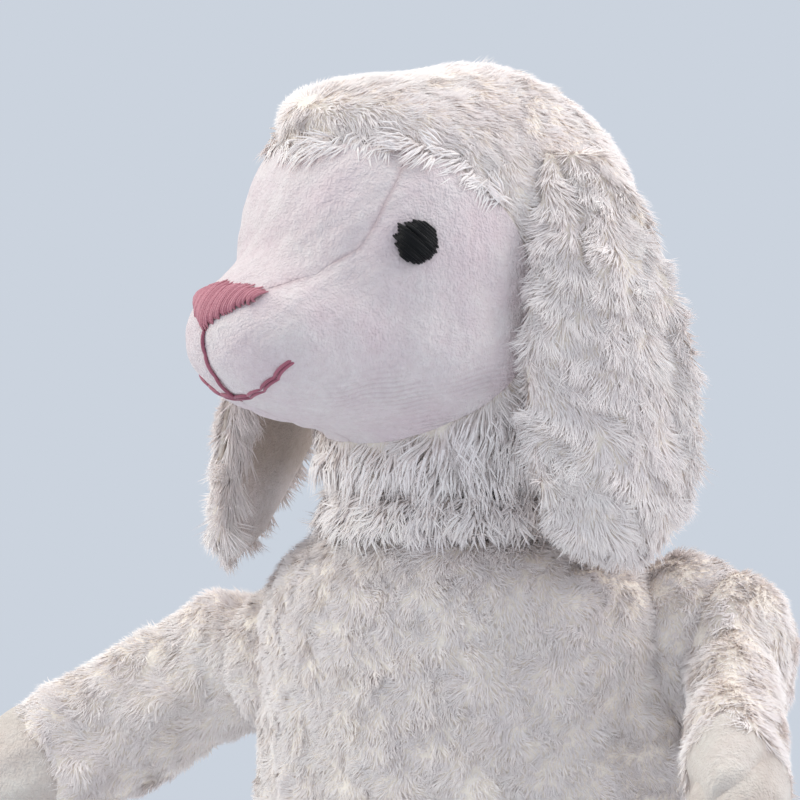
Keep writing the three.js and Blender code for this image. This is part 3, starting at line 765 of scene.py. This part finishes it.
def set_velour(mesh, seam, places=None):
    """Where a short-pile skin shows seams and knit rows; the seam values may instead carry painted shade.
    places are head points, for the face only.
    """
    knit = np.zeros(len(seam))
    row = np.zeros(len(seam))
    if places is not None:
        # Knit rows show in patches, low on the cheeks
        side, front, up = places.T
        row = up + 0.18 * front + 0.25 * waves(81, 16.0)(places)
        low = smooth_step(-up, -22, -12) * smooth_step(-front, -62, -48)
        knit = low * (0.55 + 0.45 * waves(82, 13.0)(places)) * smooth_step(np.abs(side), 12, 20)
    set_values(mesh, "seam", seam)
    set_values(mesh, "knit", np.clip(knit, 0, 1))
    set_values(mesh, "row", row)


form = cut_form(7)
FACE_TESTS = {
    "face_gusset": lambda p: (face_field(p) < 0) & (gusset_field(p) < 0),
    "cheek_left": lambda p: (face_field(p) < 0) & (gusset_field(p) > 0) & (p[:, 0] > 0),
    "cheek_right": lambda p: (face_field(p) < 0) & (gusset_field(p) > 0) & (p[:, 0] < 0),
}
HOOD_TESTS = {
    "hood_front": lambda p: (face_field(p) > 0) & (p[:, 1] > 0),
    "hood_back": lambda p: (face_field(p) > 0) & (p[:, 1] < 0),
}


def throat_open(points):
    """Where the head is open for the finger."""
    return (points[:, 2] < 0) & (np.hypot(points[:, 0], points[:, 1]) < THROAT_WAY_RADIUS)


def hood_fullness(points):
    """The hood starts under the face's pile and is fullest over the forehead and the nape."""
    _, front, up = points.T
    edge = smooth_step(face_field(points), 0, HOOD_EDGE_WIDTH)
    high = smooth_step(up, 44, 62)
    full = HOOD_ROUNDING * smooth_step(np.abs(front + 4), 8, 34)
    full += FOREHEAD_FULLNESS * smooth_step(front, 24, 44)
    return (high * full + HOOD_EDGE_DROP) * edge - HOOD_EDGE_DROP


skins = {}
for name, test in FACE_TESTS.items():
    skin, places = head_piece(name + "_velour", form, test, FACE_PILE, FACE_WALL, face_dent)
    faint = np.clip(0.55 + 0.5 * waves(83, 14.0)(places), 0.1, 1)
    set_velour(skin.data, faint * bell(seam_distance(places), 0, SEAM_LINE_HALF_WIDTH), places)
    skins[name] = skin
    finish_piece(skin, face_velour, "head", name)
for name, test in HOOD_TESTS.items():
    skin, _ = head_piece(
        name + "_backing", form, lambda p: test(p) & ~throat_open(p), HOOD_COVER, HOOD_WALL, hood_fullness)
    skins[name] = skin
    finish_piece(skin, backing, "head", name)


def longer_throat(roots):
    return 1 + 0.6 * smooth_step(-to_head(roots)[:, 2], -8, 14)


# Behind, strands are fewer and wider
BACK_FUR = {"a_square_mm": 3.3, "width": 0.66}
HOOD_LOOK = {
    "a_square_mm": 4.6, "length": 4.3, "lift": 19, "droop": 0.5, "swing": 0.6, "swirl": 13.0,
    "stray": 0.32, "lock": 12, "pull": 0.22, "width": 0.58, "bent": False, "longer": longer_throat,
}


def hood_comb(roots, normals):
    """Back and down over the head, and hanging outwards at the throat."""
    points = to_head(roots)
    way = np.zeros_like(points)
    way[:, 0] = 0.35 * np.sign(points[:, 0]) * smooth_step(np.abs(points[:, 0]), 2, 20)
    way[:, 1] = -0.75
    way[:, 2] = -0.9
    throat = smooth_step(-points[:, 2], -16, -2)[:, None]
    hanging = unit(points * np.array((1.0, 1.0, 0.0))) * 0.9 + np.array((0.0, 0.0, -1.0))
    return turn_from_head(way * (1 - throat) + hanging * throat)


def hood_outside(points, facing):
    return (dot(facing, turn_from_head(form_normals(to_head(points))))[:, 0] > 0.3) * 1.0


for index, name in enumerate(HOOD_TESTS):
    look = dict(HOOD_LOOK, **BACK_FUR) if name == "hood_back" else HOOD_LOOK
    grow_fur(name, skins[name], "head", fur_cream, look, hood_comb, hood_outside, 100 + 20 * index)

FORELOCK_LOOK = {
    "a_square_mm": 2.6, "length": 7.5, "lift": 26, "droop": 0.6, "swing": 0.6, "swirl": 9.0,
    "stray": 0.3, "lock": 9, "pull": 0.5, "width": 0.48, "bent": True,
}


def forelock_outside(points, facing):
    """The hood's edge over the forehead."""
    head = to_head(points)
    edge = smooth_step(-face_field(head), -5.5, -2.5)
    return hood_outside(points, facing) * edge * smooth_step(head[:, 2], 50, 58)


def forelock_comb(roots, normals):
    return turn_from_head(np.broadcast_to(np.array((0.0, 1.0, -0.5)), roots.shape))


grow_fur("forelock", skins["hood_front"], "head", fur_cream, FORELOCK_LOOK, forelock_comb,
         forelock_outside, 140)

THROAT_LOOK = {
    "a_square_mm": 1.6, "length": 10.0, "lift": 36, "droop": 0.7, "swing": 0.45, "swirl": 12.0,
    "stray": 0.22, "lock": 9, "pull": 0.5, "width": 0.5, "bent": True,
}


def throat_outside(points, facing):
    """The band over the ruff, from under the chin round to the nape."""
    up = to_head(points)[:, 2]
    return hood_outside(points, facing) * smooth_step(-up, -13, -6) * smooth_step(up, -17, -13)


for index, name in enumerate(HOOD_TESTS):
    grow_fur(name + "_throat", skins[name], "head", fur_cream, THROAT_LOOK, hood_comb, throat_outside,
             160 + 20 * index)


# Stitches


def threads(name, paths, half_width):
    """Round threads with tapered ends along paths of equal point count, in millimetres."""
    steps = len(paths[0])
    fat = np.maximum(np.sqrt(1 - np.linspace(-1, 1, steps) ** 6), 0.3)
    curve = bpy.data.curves.new(name, "CURVE")
    curve.dimensions = "3D"
    curve.bevel_depth = half_width * MM
    curve.bevel_resolution = 2
    curve.use_fill_caps = True
    for path in paths:
        spline = curve.splines.new("POLY")
        spline.points.add(steps - 1)
        places = np.concatenate((path * MM, np.ones((steps, 1))), axis=1)
        spline.points.foreach_set("co", places.ravel())
        spline.points.foreach_set("radius", fat)
    wire = link_object(name, curve)
    mesh = bpy.data.meshes.new_from_object(wire.evaluated_get(bpy.context.evaluated_depsgraph_get()))
    bpy.data.objects.remove(wire)
    bpy.data.curves.remove(curve)
    bm = bmesh.new()
    bm.from_mesh(mesh)
    bmesh.ops.remove_doubles(bm, verts=bm.verts, dist=0.001 * MM)
    bmesh.ops.recalc_face_normals(bm, faces=bm.faces)
    bm.to_mesh(mesh)
    bm.free()
    mesh.name = name
    mesh.shade_smooth()
    owner = nearest(points_of(mesh), np.concatenate(paths)) // steps
    set_values(mesh, "tint", np.random.default_rng(len(paths)).random(len(paths))[owner])
    return link_object(name, mesh)


def stitch_rows(starts, ends, along, height, steps=9):
    """Threads from starts to ends laid on the face, a little proud in the middle and sunk at both ends."""
    share = np.linspace(0, 1, steps)
    paths = []
    for start, end in zip(starts, ends):
        line = start + (end - start) * share[:, None]
        cover = FACE_PILE - 0.7 + height * np.clip(np.sin(share * math.pi), 0, 1) ** 0.45
        paths.append(from_head(drop_to_form(line, np.broadcast_to(along, line.shape), cover)))
    return paths


def nose_low_edge(side):
    """Height of the nose's lower edge at a distance from its middle."""
    share = np.clip(np.abs(side) / NOSE["half_width"], 0, 1)
    span = NOSE["top"] - NOSE["point"]
    return NOSE["point"] + span * 0.62 * share ** 0.82


def nose_high_edge(side):
    share = np.abs(side) / NOSE["half_width"]
    return NOSE["top"] - (NOSE["top"] - NOSE["point"]) * 0.16 * share ** 2


def make_nose():
    rng = np.random.default_rng(5)
    side = np.linspace(-NOSE["half_width"], NOSE["half_width"], 41)
    side = np.clip(side + rng.normal(0, 0.08, len(side)), -NOSE["half_width"], NOSE["half_width"])
    ahead = np.full(len(side), NOSE_AHEAD)
    lean = side * 0.93
    starts = np.stack((side, ahead, nose_high_edge(side) + rng.normal(0, 0.25, len(side))), axis=1)
    ends = np.stack((lean, ahead, nose_low_edge(side) + rng.normal(0, 0.3, len(side))), axis=1)
    obj = threads("nose_stitches", stitch_rows(starts, ends, np.array((0.0, 1.0, 0.0)), 1.4), 0.42)
    finish_piece(obj, rose_thread, "head", "nose")


def back_stitches(places, offsets):
    """Starts and ends of short overlapping stitches along a line of places, side by side at offsets."""
    starts, ends = [], []
    for start, end in zip(places[:-1], places[1:]):
        gap = (end - start) / max(np.linalg.norm(end - start), 1e-6)
        for offset in offsets:
            shift = np.array((-gap[2], 0, gap[0])) * offset
            starts.append(start - gap * 0.7 + shift)
            ends.append(end + gap * 0.9 + shift)
    return starts, ends


def make_mouth():
    """A bar down from the nose and a smile of two rows."""
    half = math.radians(MOUTH["half_angle"])
    bar_up = np.linspace(NOSE["point"] + 0.6, MOUTH["centre_up"] - MOUTH["radius"], 4)
    lines = [(np.stack((np.zeros(4), np.full(4, NOSE_AHEAD), bar_up), axis=1), (0.0,))]
    for side in (1, -1):
        angle = np.linspace(0, half, 5) * side
        x = MOUTH["radius"] * np.sin(angle)
        z = MOUTH["centre_up"] - MOUTH["radius"] * np.cos(angle)
        lines.append((np.stack((x, np.full(5, NOSE_AHEAD), z), axis=1), (-0.28, 0.28)))
    starts, ends = [], []
    for places, offsets in lines:
        some_starts, some_ends = back_stitches(places, offsets)
        starts += some_starts
        ends += some_ends
    paths = stitch_rows(np.array(starts), np.array(ends), np.array((0.0, 1.0, 0.0)), 0.75)
    obj = threads("mouth_stitches", paths, 0.45)
    finish_piece(obj, mouth_thread, "head", "mouth")


def eye_axes(side):
    """An eye's centre, the way it looks, and the ways along and across its stitches, for head points."""
    centre = np.array((side * EYE["side"], EYE["front"], EYE["up"]))
    outward = unit(centre - np.array((0.0, EYE_LOOKS_FROM, EYE["up"])))
    level = unit(np.cross(outward, np.array((0.0, 0.0, 1.0)))) * side
    rise = unit(np.cross(level, outward)) * side
    tilt = math.radians(EYE["tilt"])
    long_way = level * math.cos(tilt) + rise * math.sin(tilt)
    short_way = rise * math.cos(tilt) - level * math.sin(tilt)
    return centre, outward, long_way, short_way


def make_eye(side, node):
    """An oval of stitches domed over a pad."""
    rng = np.random.default_rng(17 + side)
    centre, outward, long_way, short_way = eye_axes(side)
    count = 17
    place = np.linspace(-0.95, 0.95, count)
    reach = np.sqrt(1 - place ** 2) * EYE["half_length"]
    offset = place * EYE["half_width"]
    jitter = rng.normal(0, 0.5, (2, count))
    starts = centre + offset[:, None] * short_way - (reach + jitter[0])[:, None] * long_way
    ends = centre + offset[:, None] * short_way + (reach + jitter[1])[:, None] * long_way
    share = np.linspace(0, 1, 9)
    paths = []
    for start, end, spot in zip(starts, ends, place):
        line = start + (end - start) * share[:, None]
        dome = (1 - spot ** 2) ** 0.5
        cover = FACE_PILE - 1.3 + (1.0 + 1.9 * dome + rng.normal(0, 0.12)) * np.sin(share * math.pi) ** 0.5
        paths.append(from_head(drop_to_form(line, np.broadcast_to(outward, line.shape), cover)))
    obj = threads(node + "_stitches", paths, 0.5)
    finish_piece(obj, black_thread, "head", node)


def make_eye_pad(side, node):
    centre, outward, long_way, short_way = eye_axes(side)
    seat = drop_to_form(centre[None], outward[None], np.array((FACE_PILE - 0.6,)))[0]
    axes = turn_from_head(np.stack((
        long_way * EYE["half_length"] * 0.86,
        short_way * EYE["half_width"] * 0.9,
        outward * EYE_PAD_RISE,
    )))
    place = Matrix.Translation(from_head(seat[None])[0] * MM) @ Matrix((axes * MM).T.tolist()).to_4x4()
    bm = bmesh.new()
    bmesh.ops.create_icosphere(bm, subdivisions=4, radius=1.0, matrix=place)
    bmesh.ops.recalc_face_normals(bm, faces=bm.faces)
    pad = object_from(bm, node + "_pad")
    pad.data.shade_smooth()
    set_values(pad.data, "tint", np.zeros(len(pad.data.vertices)))
    finish_piece(pad, black_thread, "head")


make_nose()
make_mouth()
for side, word in SIDES:
    make_eye(side, f"eye_{word}")
    make_eye_pad(side, f"eye_{word}")


# Glove body, arms, neck and ears


GLOVE_LEAN_HEIGHTS = (85.0, 155.0)
SHOULDER_HEIGHT = 139.0
ARM_SEAT_CLEARANCE = 1.04
HEM_THINNING = 0.55
COLLAR_HEIGHTS = (144.0, 152.0)


def from_axis(points):
    """Directions out from the glove's middle line, which leans forward towards the neck."""
    away = points * np.array((1.0, 1.0, 0.0))
    away[:, 1] -= HEAD_PIVOT[1] * smooth_step(points[:, 2], *GLOVE_LEAN_HEIGHTS)
    return unit(away)


def root_reach(points, side):
    """Below one inside the flat round root of an arm."""
    off = points - ARM_ROOT[side]
    thin = off @ ARM_HINGE[side]
    round_way = np.linalg.norm(off - thin[:, None] * ARM_HINGE[side], axis=1)
    return np.hypot(thin / ARM_ROOT_THICKNESS, round_way / ARM_ROOT_RADIUS)


def glove_outside(points, facing):
    """Full on the outer faces of the glove, away from the arm seats, and thinner towards the hem."""
    out = dot(facing, from_axis(points) * np.array((1.0, 1.4, 0.0)))[:, 0] > 0.3
    top = (points[:, 2] > SHOULDER_HEIGHT) & (facing[:, 2] > 0.3)
    clear = np.ones(len(points), dtype=bool)
    for side in (1, -1):
        clear &= root_reach(points, side) > ARM_SEAT_CLEARANCE
    return ((out | top) & clear) * (1 - HEM_THINNING * smooth_step(-points[:, 2], -80, -50))


def glove_comb(roots, normals):
    """Down and a little outwards."""
    return from_axis(roots) * 0.5 + np.array((0.0, 0.0, -1.0))


def longer_collar(roots):
    """Longer pile at the neck rim, which hides the seam to the ruff."""
    return 1 + 0.9 * smooth_step(roots[:, 2], *COLLAR_HEIGHTS)


TORSO_LOOK = {
    "a_square_mm": 4.0, "length": 3.4, "lift": 29, "droop": 0.5, "swing": 0.8, "swirl": 14.0,
    "stray": 0.5, "lock": 6, "pull": 0.4, "width": 0.56, "bent": False, "longer": longer_collar,
}
SEAM_OVERLAP = 3.0
for index, name in enumerate(("torso_front", "torso_back")):
    skin = skin_from(name + "_backing", name, voxel=1.8)
    swell(skin, -1.3 + 0.3 * waves(302, 9.0)(points_of(skin.data)))
    places = points_of(skin.data)
    beside_seam = smooth_step(-np.abs(places[:, 1]), -8, -1.5)
    towards_seam = np.array((0.0, 1.0 if name == "torso_front" else -1.0, 0.0))
    move_points(skin.data, places + towards_seam * SEAM_OVERLAP * beside_seam[:, None])
    finish_piece(skin, backing, "glove", name)
    look = dict(TORSO_LOOK, **BACK_FUR) if name == "torso_back" else TORSO_LOOK
    grow_fur(name, skin, "glove", fur_glove_painted_shade, look, glove_comb, glove_outside, 310 + 20 * index)

SHOULDERS = {
    "left": {"centre": (54.0, 4.0, 125.0), "half_sizes": (18.0, 19.5, 22.5)},
    "right": {"centre": (-55.0, 0.0, 116.0), "half_sizes": (17.0, 17.5, 19.0)},
}


def shoulder_outside(points, facing):
    """Full outside the glove, without the flat ends that lie in the glove and the sleeve."""
    low = 0.9 - 0.4 * smooth_step(points[:, 2], 126, 140)
    out = np.hypot(points[:, 0] / 60, (points[:, 1] - 2) / 38) > low
    return out * (np.abs(facing[:, 0]) < 0.95) * 1.0


def make_shoulder(word, seed):
    """The gathered cloth between the glove and a sleeve."""
    shape = SHOULDERS[word]
    sizes = Matrix.Diagonal(Vector(shape["half_sizes"]) * MM).to_4x4()
    place = Matrix.Translation(Vector(shape["centre"]) * MM) @ sizes
    bm = bmesh.new()
    bmesh.ops.create_icosphere(bm, subdivisions=5, radius=1.0, matrix=place)
    shoulder = object_from(bm, f"shoulder_{word}_backing")
    shoulder.data.shade_smooth()
    finish_piece(shoulder, backing, "glove")
    grow_fur(f"shoulder_{word}", shoulder, "glove", fur_glove_painted_shade, TORSO_LOOK, glove_comb,
             shoulder_outside, seed)


make_shoulder("left", 390)
make_shoulder("right", 395)

SLEEVE_COMB = {1: 0.25, -1: 2.5}
SLEEVE_DROP = {1: 0.0, -1: 4.0}
SLEEVE_FUR_LENGTH = {1: 3.2, -1: 3.8}
FUR_ENDS_EARLY = {1: 0.0, -1: 1.0}
SLEEVE_FUR_END = (50.0, 54.0)
CUFF_FUR = (46.0, 58.0)
ARM_LOOK = dict(TORSO_LOOK, lift=28, swing=0.6, swirl=14.0, stray=0.4, lock=6, pull=0.35)
# Turn from the camera's side, width and depth share of each fold of a hoof
HOOF_FOLDS = ((0.4, 0.24, 1.0), (-0.75, 0.2, 0.55), (1.9, 0.3, 0.8), (-2.2, 0.3, 0.8))
HOOF_FOLD_DEPTH = 3.6
HOOF_CUFF_SWELL = 1.1
HOOF_CUFF = (56.0, 74.0)
HOOF_INTO_CUFF = 5.0
HOOF_HIDDEN_END = (60.0, 70.0)


def fades_out(along, near, far):
    """One up to the near distance along an arm, nought from the far one on."""
    return smooth_step(-along, -far, -near)


def along_arm(points, side):
    """Distance from an arm's root towards its hoof."""
    return (points - ARM_ROOT[side]) @ unit(ARM_AIM[side])


def make_sleeve(side, word):
    """A sleeve's backing and its fur, combed down and towards the hoof."""
    root = ARM_ROOT[side]
    aim = unit(ARM_AIM[side])
    skin = skin_from(f"arm_{word}_backing", f"arm_sleeve_{word}", voxel=1.5, smooth=9)
    places = points_of(skin.data)
    # One over the sleeve's top beside the shoulder, nought elsewhere
    slope = smooth_step(places[:, 2] - root[2], 3, 18) * fades_out(along_arm(places, side), 6, 26)
    swell(skin, -1.0 + 0.7 * waves(401 + side, 20.0)(places))
    drop = np.array((0.0, 0.0, SLEEVE_DROP[side]))
    move_points(skin.data, points_of(skin.data) - drop * slope[:, None])
    finish_piece(skin, backing, f"arm_{word}", f"arm_sleeve_{word}")

    def sleeve_outside(points, facing):
        along = along_arm(points, side)
        away = points - root - np.clip(along, 0, None)[:, None] * aim
        out = dot(facing, unit(away))[:, 0] > 0.2
        clear = np.abs(points[:, 0]) > 55
        return (out & clear) * (1 - FUR_ENDS_EARLY[side] * smooth_step(along, *SLEEVE_FUR_END))

    def sleeve_comb(roots, normals):
        return np.broadcast_to(aim * SLEEVE_COMB[side] + np.array((0.0, 0.0, -0.8)), roots.shape)

    def longer_cuff(roots):
        return 1 + 0.8 * (1 - FUR_ENDS_EARLY[side]) * smooth_step(along_arm(roots, side), *CUFF_FUR)

    look = dict(ARM_LOOK, longer=longer_cuff, length=SLEEVE_FUR_LENGTH[side])
    grow_fur(f"arm_{word}", skin, f"arm_{word}", fur_cream, look, sleeve_comb, sleeve_outside,
             420 + 20 * side)


def fold_depth(places, side):
    """Nought to one in the folds that run along a hoof."""
    hinge = ARM_HINGE[side]
    across = unit(np.cross(unit(ARM_AIM[side]), hinge))
    off = places - ARM_ROOT[side]
    turn = np.arctan2(off @ across, off @ hinge)
    seen = math.atan2(TO_CAMERA @ across, TO_CAMERA @ hinge)
    right = math.atan2(CAMERA_RIGHT @ across, CAMERA_RIGHT @ hinge)
    sense = math.copysign(1, math.sin(right - seen))
    depth = np.zeros(len(places))
    for fold, width, share in HOOF_FOLDS:
        away = turn - seen - sense * fold + 0.15 * waves(451 + side, 20.0)(places)
        away = np.arctan2(np.sin(away), np.cos(away))
        depth = np.maximum(depth, share * bell(away, 0, width))
    return depth


def make_hoof(side, word):
    """A hoof's folded skin, with its end pushed into the sleeve."""
    hoof = skin_from(f"hoof_{word}_velour", f"hoof_{word}", voxel=1.0, smooth=24)
    places = points_of(hoof.data)
    along = along_arm(places, side)
    depth = fold_depth(places, side)
    cuff = fades_out(along, *HOOF_CUFF)
    ripple = 0.4 * waves(452 + side, 9.0)(places)
    swell(hoof, ripple - HOOF_FOLD_DEPTH * depth * (1 - cuff) + HOOF_CUFF_SWELL * cuff)
    into_cuff = HOOF_INTO_CUFF * fades_out(along, *HOOF_HIDDEN_END)
    move_points(hoof.data, points_of(hoof.data) - unit(ARM_AIM[side]) * into_cuff[:, None])
    # Painted shade: the folds are coloured darker, towards the seam colour, as deep as they are.
    set_velour(hoof.data, 0.6 * depth)
    finish_piece(hoof, hoof_velour, f"arm_{word}", f"hoof_{word}")


for side, word in SIDES:
    make_sleeve(side, word)
    make_hoof(side, word)


def even(roots):
    return np.ones(len(roots))


NECK_LOOK = dict(
    HOOD_LOOK, a_square_mm=3.0, length=8.5, lift=27, droop=0.7, swing=0.6, bent=True, longer=even)
RUFF_TOP_IN = 2.4
RUFF_TOP_UP = 2.0
skin = skin_from("neck_ruff_backing", "neck_ruff", voxel=1.0, smooth=3)
places = points_of(skin.data)
rise = smooth_step(places[:, 2], NECK_RUFF_FOOT, NECK_RUFF_FOOT + 6)[:, None]
outward = from_axis(places)
move_points(skin.data, places - outward * rise * RUFF_TOP_IN + np.array((0.0, 0.0, RUFF_TOP_UP)) * rise)
finish_piece(skin, backing, "neck", "neck_ruff")


def ruff_outside(points, facing):
    out = dot(facing, from_axis(points))[:, 0] > 0.2
    top = (facing[:, 2] > 0.4) & (np.linalg.norm(points[:, :2] - HEAD_PIVOT[:2], axis=1) > 31.5)
    return (out | top).astype(float)


grow_fur("neck_ruff", skin, "neck", fur_cream, NECK_LOOK, glove_comb, ruff_outside, 500)

EAR_LOOK = dict(HOOD_LOOK, length=5.6, lift=22, swing=0.7, swirl=13.0, lock=14, pull=0.33)
EAR_EDGE_LENGTH = {1: 5.6, -1: 7.8}
EAR_MIDDLE = {
    # heights and front positions of each ear's middle line, from the nod pivot
    1: ((-33, 71), (-4, -4)),
    -1: ((-38, 6, 34, 54, 71), (37, 19, 8, 3, 1)),
}
EAR_CREASE = {"off": 5.5, "half_width": 1.1, "depth": 1.6}
EAR_VALLEY = {"off": -13.0, "half_width": 3.0, "depth": 1.5}
EAR_FRONT_LOBE = {"off": 1.0, "half_width": 8.5, "rise": 2.4}
EAR_BACK_LOBE = {"off": -20.0, "half_width": 4.0, "rise": 0.8}
EAR_HALF_WIDTH = 22
EAR_COMB_SPREAD = {1: 0.6, -1: 0.9}
EAR_WIDENING = {1: 0.0, -1: 0.24}


def off_ear_middle(head, side):
    """How far head points lie in front of an ear's middle line."""
    heights, fronts = EAR_MIDDLE[side]
    return head[:, 1] - np.interp(head[:, 2], heights, fronts)


def head_side(side):
    """The way out from one side of the head, as one row."""
    return turn_from_head(np.array(((side, 0.0, 0.0),)))


def ear_combing(side):
    """A comb that runs down an ear and out from its middle line."""
    def comb(roots, normals):
        head = to_head(roots)
        way = np.zeros_like(head)
        way[:, 1] = off_ear_middle(head, side) / EAR_HALF_WIDTH * EAR_COMB_SPREAD[side]
        way[:, 2] = -1.0
        return turn_from_head(way)
    return comb


def ear_creases(points, side):
    """One along the crease at the root and in the valley near the back edge, nought elsewhere."""
    head = to_head(points)
    off, up = off_ear_middle(head, side), head[:, 2]
    root = bell(off, EAR_CREASE["off"], EAR_CREASE["half_width"]) * smooth_step(up, 34, 42)
    valley = bell(off, EAR_VALLEY["off"], EAR_VALLEY["half_width"])
    valley = valley * smooth_step(up, -8, 6) * smooth_step(-up, -46, -36)
    return root, valley


def ear_lobes(points, side):
    """Fullness in front of the valley and behind it."""
    head = to_head(points)
    off, up = off_ear_middle(head, side), head[:, 2]
    level = smooth_step(up, -34, -12) * smooth_step(-up, -56, -40)
    rise = np.zeros(len(points))
    for lobe in (EAR_FRONT_LOBE, EAR_BACK_LOBE):
        rise += lobe["rise"] * bell(off, lobe["off"], lobe["half_width"])
    return level * rise


def widen_ear(skin, side):
    """The far ear spreads below the cheek."""
    head = to_head(points_of(skin.data))
    spread = EAR_WIDENING[side] * off_ear_middle(head, side)
    head[:, 1] += spread * smooth_step(-head[:, 2], -40, 0)
    move_points(skin.data, from_head(head))


def make_ear(side, word):
    """The furred outside of an ear."""
    skin = skin_from(f"ear_{word}_backing", f"ear_{word}", voxel=0.9, smooth=4)
    widen_ear(skin, side)
    places = points_of(skin.data)
    root, valley = ear_creases(places, side)
    outer = np.clip(dot(normals_of(skin.data), head_side(side))[:, 0], 0, 1)
    dent = EAR_CREASE["depth"] * root + EAR_VALLEY["depth"] * valley
    swell(skin, outer * ear_lobes(places, side) - dent)
    finish_piece(skin, backing, f"ear_{word}", f"ear_{word}")

    def ear_outside(points, facing):
        return (dot(facing, head_side(side))[:, 0] > -0.15).astype(float)

    def shorter_in_creases(roots):
        root, valley = ear_creases(roots, side)
        return 1 - 0.7 * root - 0.1 * valley

    look = dict(EAR_LOOK, longer=shorter_in_creases)
    grow_fur(f"ear_{word}", skin, f"ear_{word}", fur_cream, look, ear_combing(side), ear_outside,
             600 + 30 * side)


def make_lining(side, word):
    """The short-pile inside of an ear, with the outer fur turned in along its front edge."""
    lining = skin_from(f"ear_{word}_lining_velour", f"ear_{word}_lining", voxel=0.9, smooth=4)
    widen_ear(lining, side)
    places = to_head(points_of(lining.data))
    # The lining turns brown over its upper part: partly a beige cloth, partly painted shade where the
    # head's shadow falls.
    set_velour(lining.data, smooth_step(places[:, 2], -23, -9))
    finish_piece(lining, lining_velour, f"ear_{word}", f"ear_{word}_lining")

    def lining_edge(points, facing):
        head = to_head(points)
        off = off_ear_middle(head, side)
        levels = np.linspace(head[:, 2].min(), head[:, 2].max(), 24)
        reaches = [off[np.abs(head[:, 2] - level) < 4].max() for level in levels]
        reach = np.maximum(np.interp(head[:, 2], levels, reaches), 1)
        inward = dot(facing, head_side(-side))[:, 0] > -0.2
        return inward * smooth_step(off / reach, 0.5, 0.66)

    look = dict(EAR_LOOK, longer=even, length=EAR_EDGE_LENGTH[side])
    grow_fur(f"ear_{word}_edge", lining, f"ear_{word}", fur_cream, look, ear_combing(side), lining_edge,
             640 + 30 * side)


for side, word in SIDES:
    make_ear(side, word)
    make_lining(side, word)

for name, material in (("head_stuffing", filling), ("finger_pocket", jersey), ("hem_facing", jersey)):
    nodes[name].data.materials.clear()
    nodes[name].data.materials.append(material)


# Camera, floor and light

target = Vector(CAMERA_RIGHT * -TARGET_LEFT) + Vector((0, 0, TARGET_HEIGHT))
back = Vector(TO_CAMERA) * math.cos(CAMERA_RISE) + Vector((0, 0, math.sin(CAMERA_RISE)))
camera_data = bpy.data.cameras.new("photo_camera")
camera = link_object("photo_camera", camera_data)
camera.location = target + back * CAMERA_DISTANCE
camera.rotation_euler = back.to_track_quat("Z", "Y").to_euler()
camera_data.lens = camera_data.sensor_width * CAMERA_DISTANCE / PICTURE_WIDTH
camera_data.clip_start = 0.01
bpy.context.scene.camera = camera

FLOOR_RADIUS = 0.45
FLOOR_GAP = 0.001
bm = bmesh.new()
bmesh.ops.create_circle(bm, cap_ends=True, segments=64, radius=FLOOR_RADIUS)
floor = object_from(bm, "floor")
floor_look = skin_material("floor", colour(214, 219, 227), colour(217, 222, 229))
floor.data.materials.append(floor_look)
floor.location.z = -FLOOR_GAP

world = bpy.data.worlds.new("studio")
bpy.context.scene.world = world
world.use_nodes = True
sky = world.node_tree.nodes["Background"]
sky.inputs["Color"].default_value = colour(203, 211, 222)
sky.inputs["Strength"].default_value = 1.0
bpy.context.scene.view_settings.view_transform = "Standard"


def area_light(name, side, front, up, size, power, tone):
    """A soft light placed from the camera's side of the puppet: right, towards the camera, up."""
    data = bpy.data.lights.new(name, "AREA")
    data.size = size
    data.energy = power
    data.color = tone
    lamp = link_object(name, data)
    lamp.location = target + Vector(CAMERA_RIGHT) * side + Vector(TO_CAMERA) * front + Vector((0, 0, up))
    lamp.rotation_euler = (lamp.location - target).to_track_quat("Z", "Y").to_euler()


area_light("key", -1.3, -0.05, 0.75, 0.9, 13.0, (1.0, 1.0, 0.9))
area_light("fill", 1.3, 0.05, 0.75, 0.9, 12.0, (1.0, 0.98, 0.95))
area_light("top", 0.0, -0.15, 1.3, 1.0, 7.5, (1.0, 0.99, 0.95))
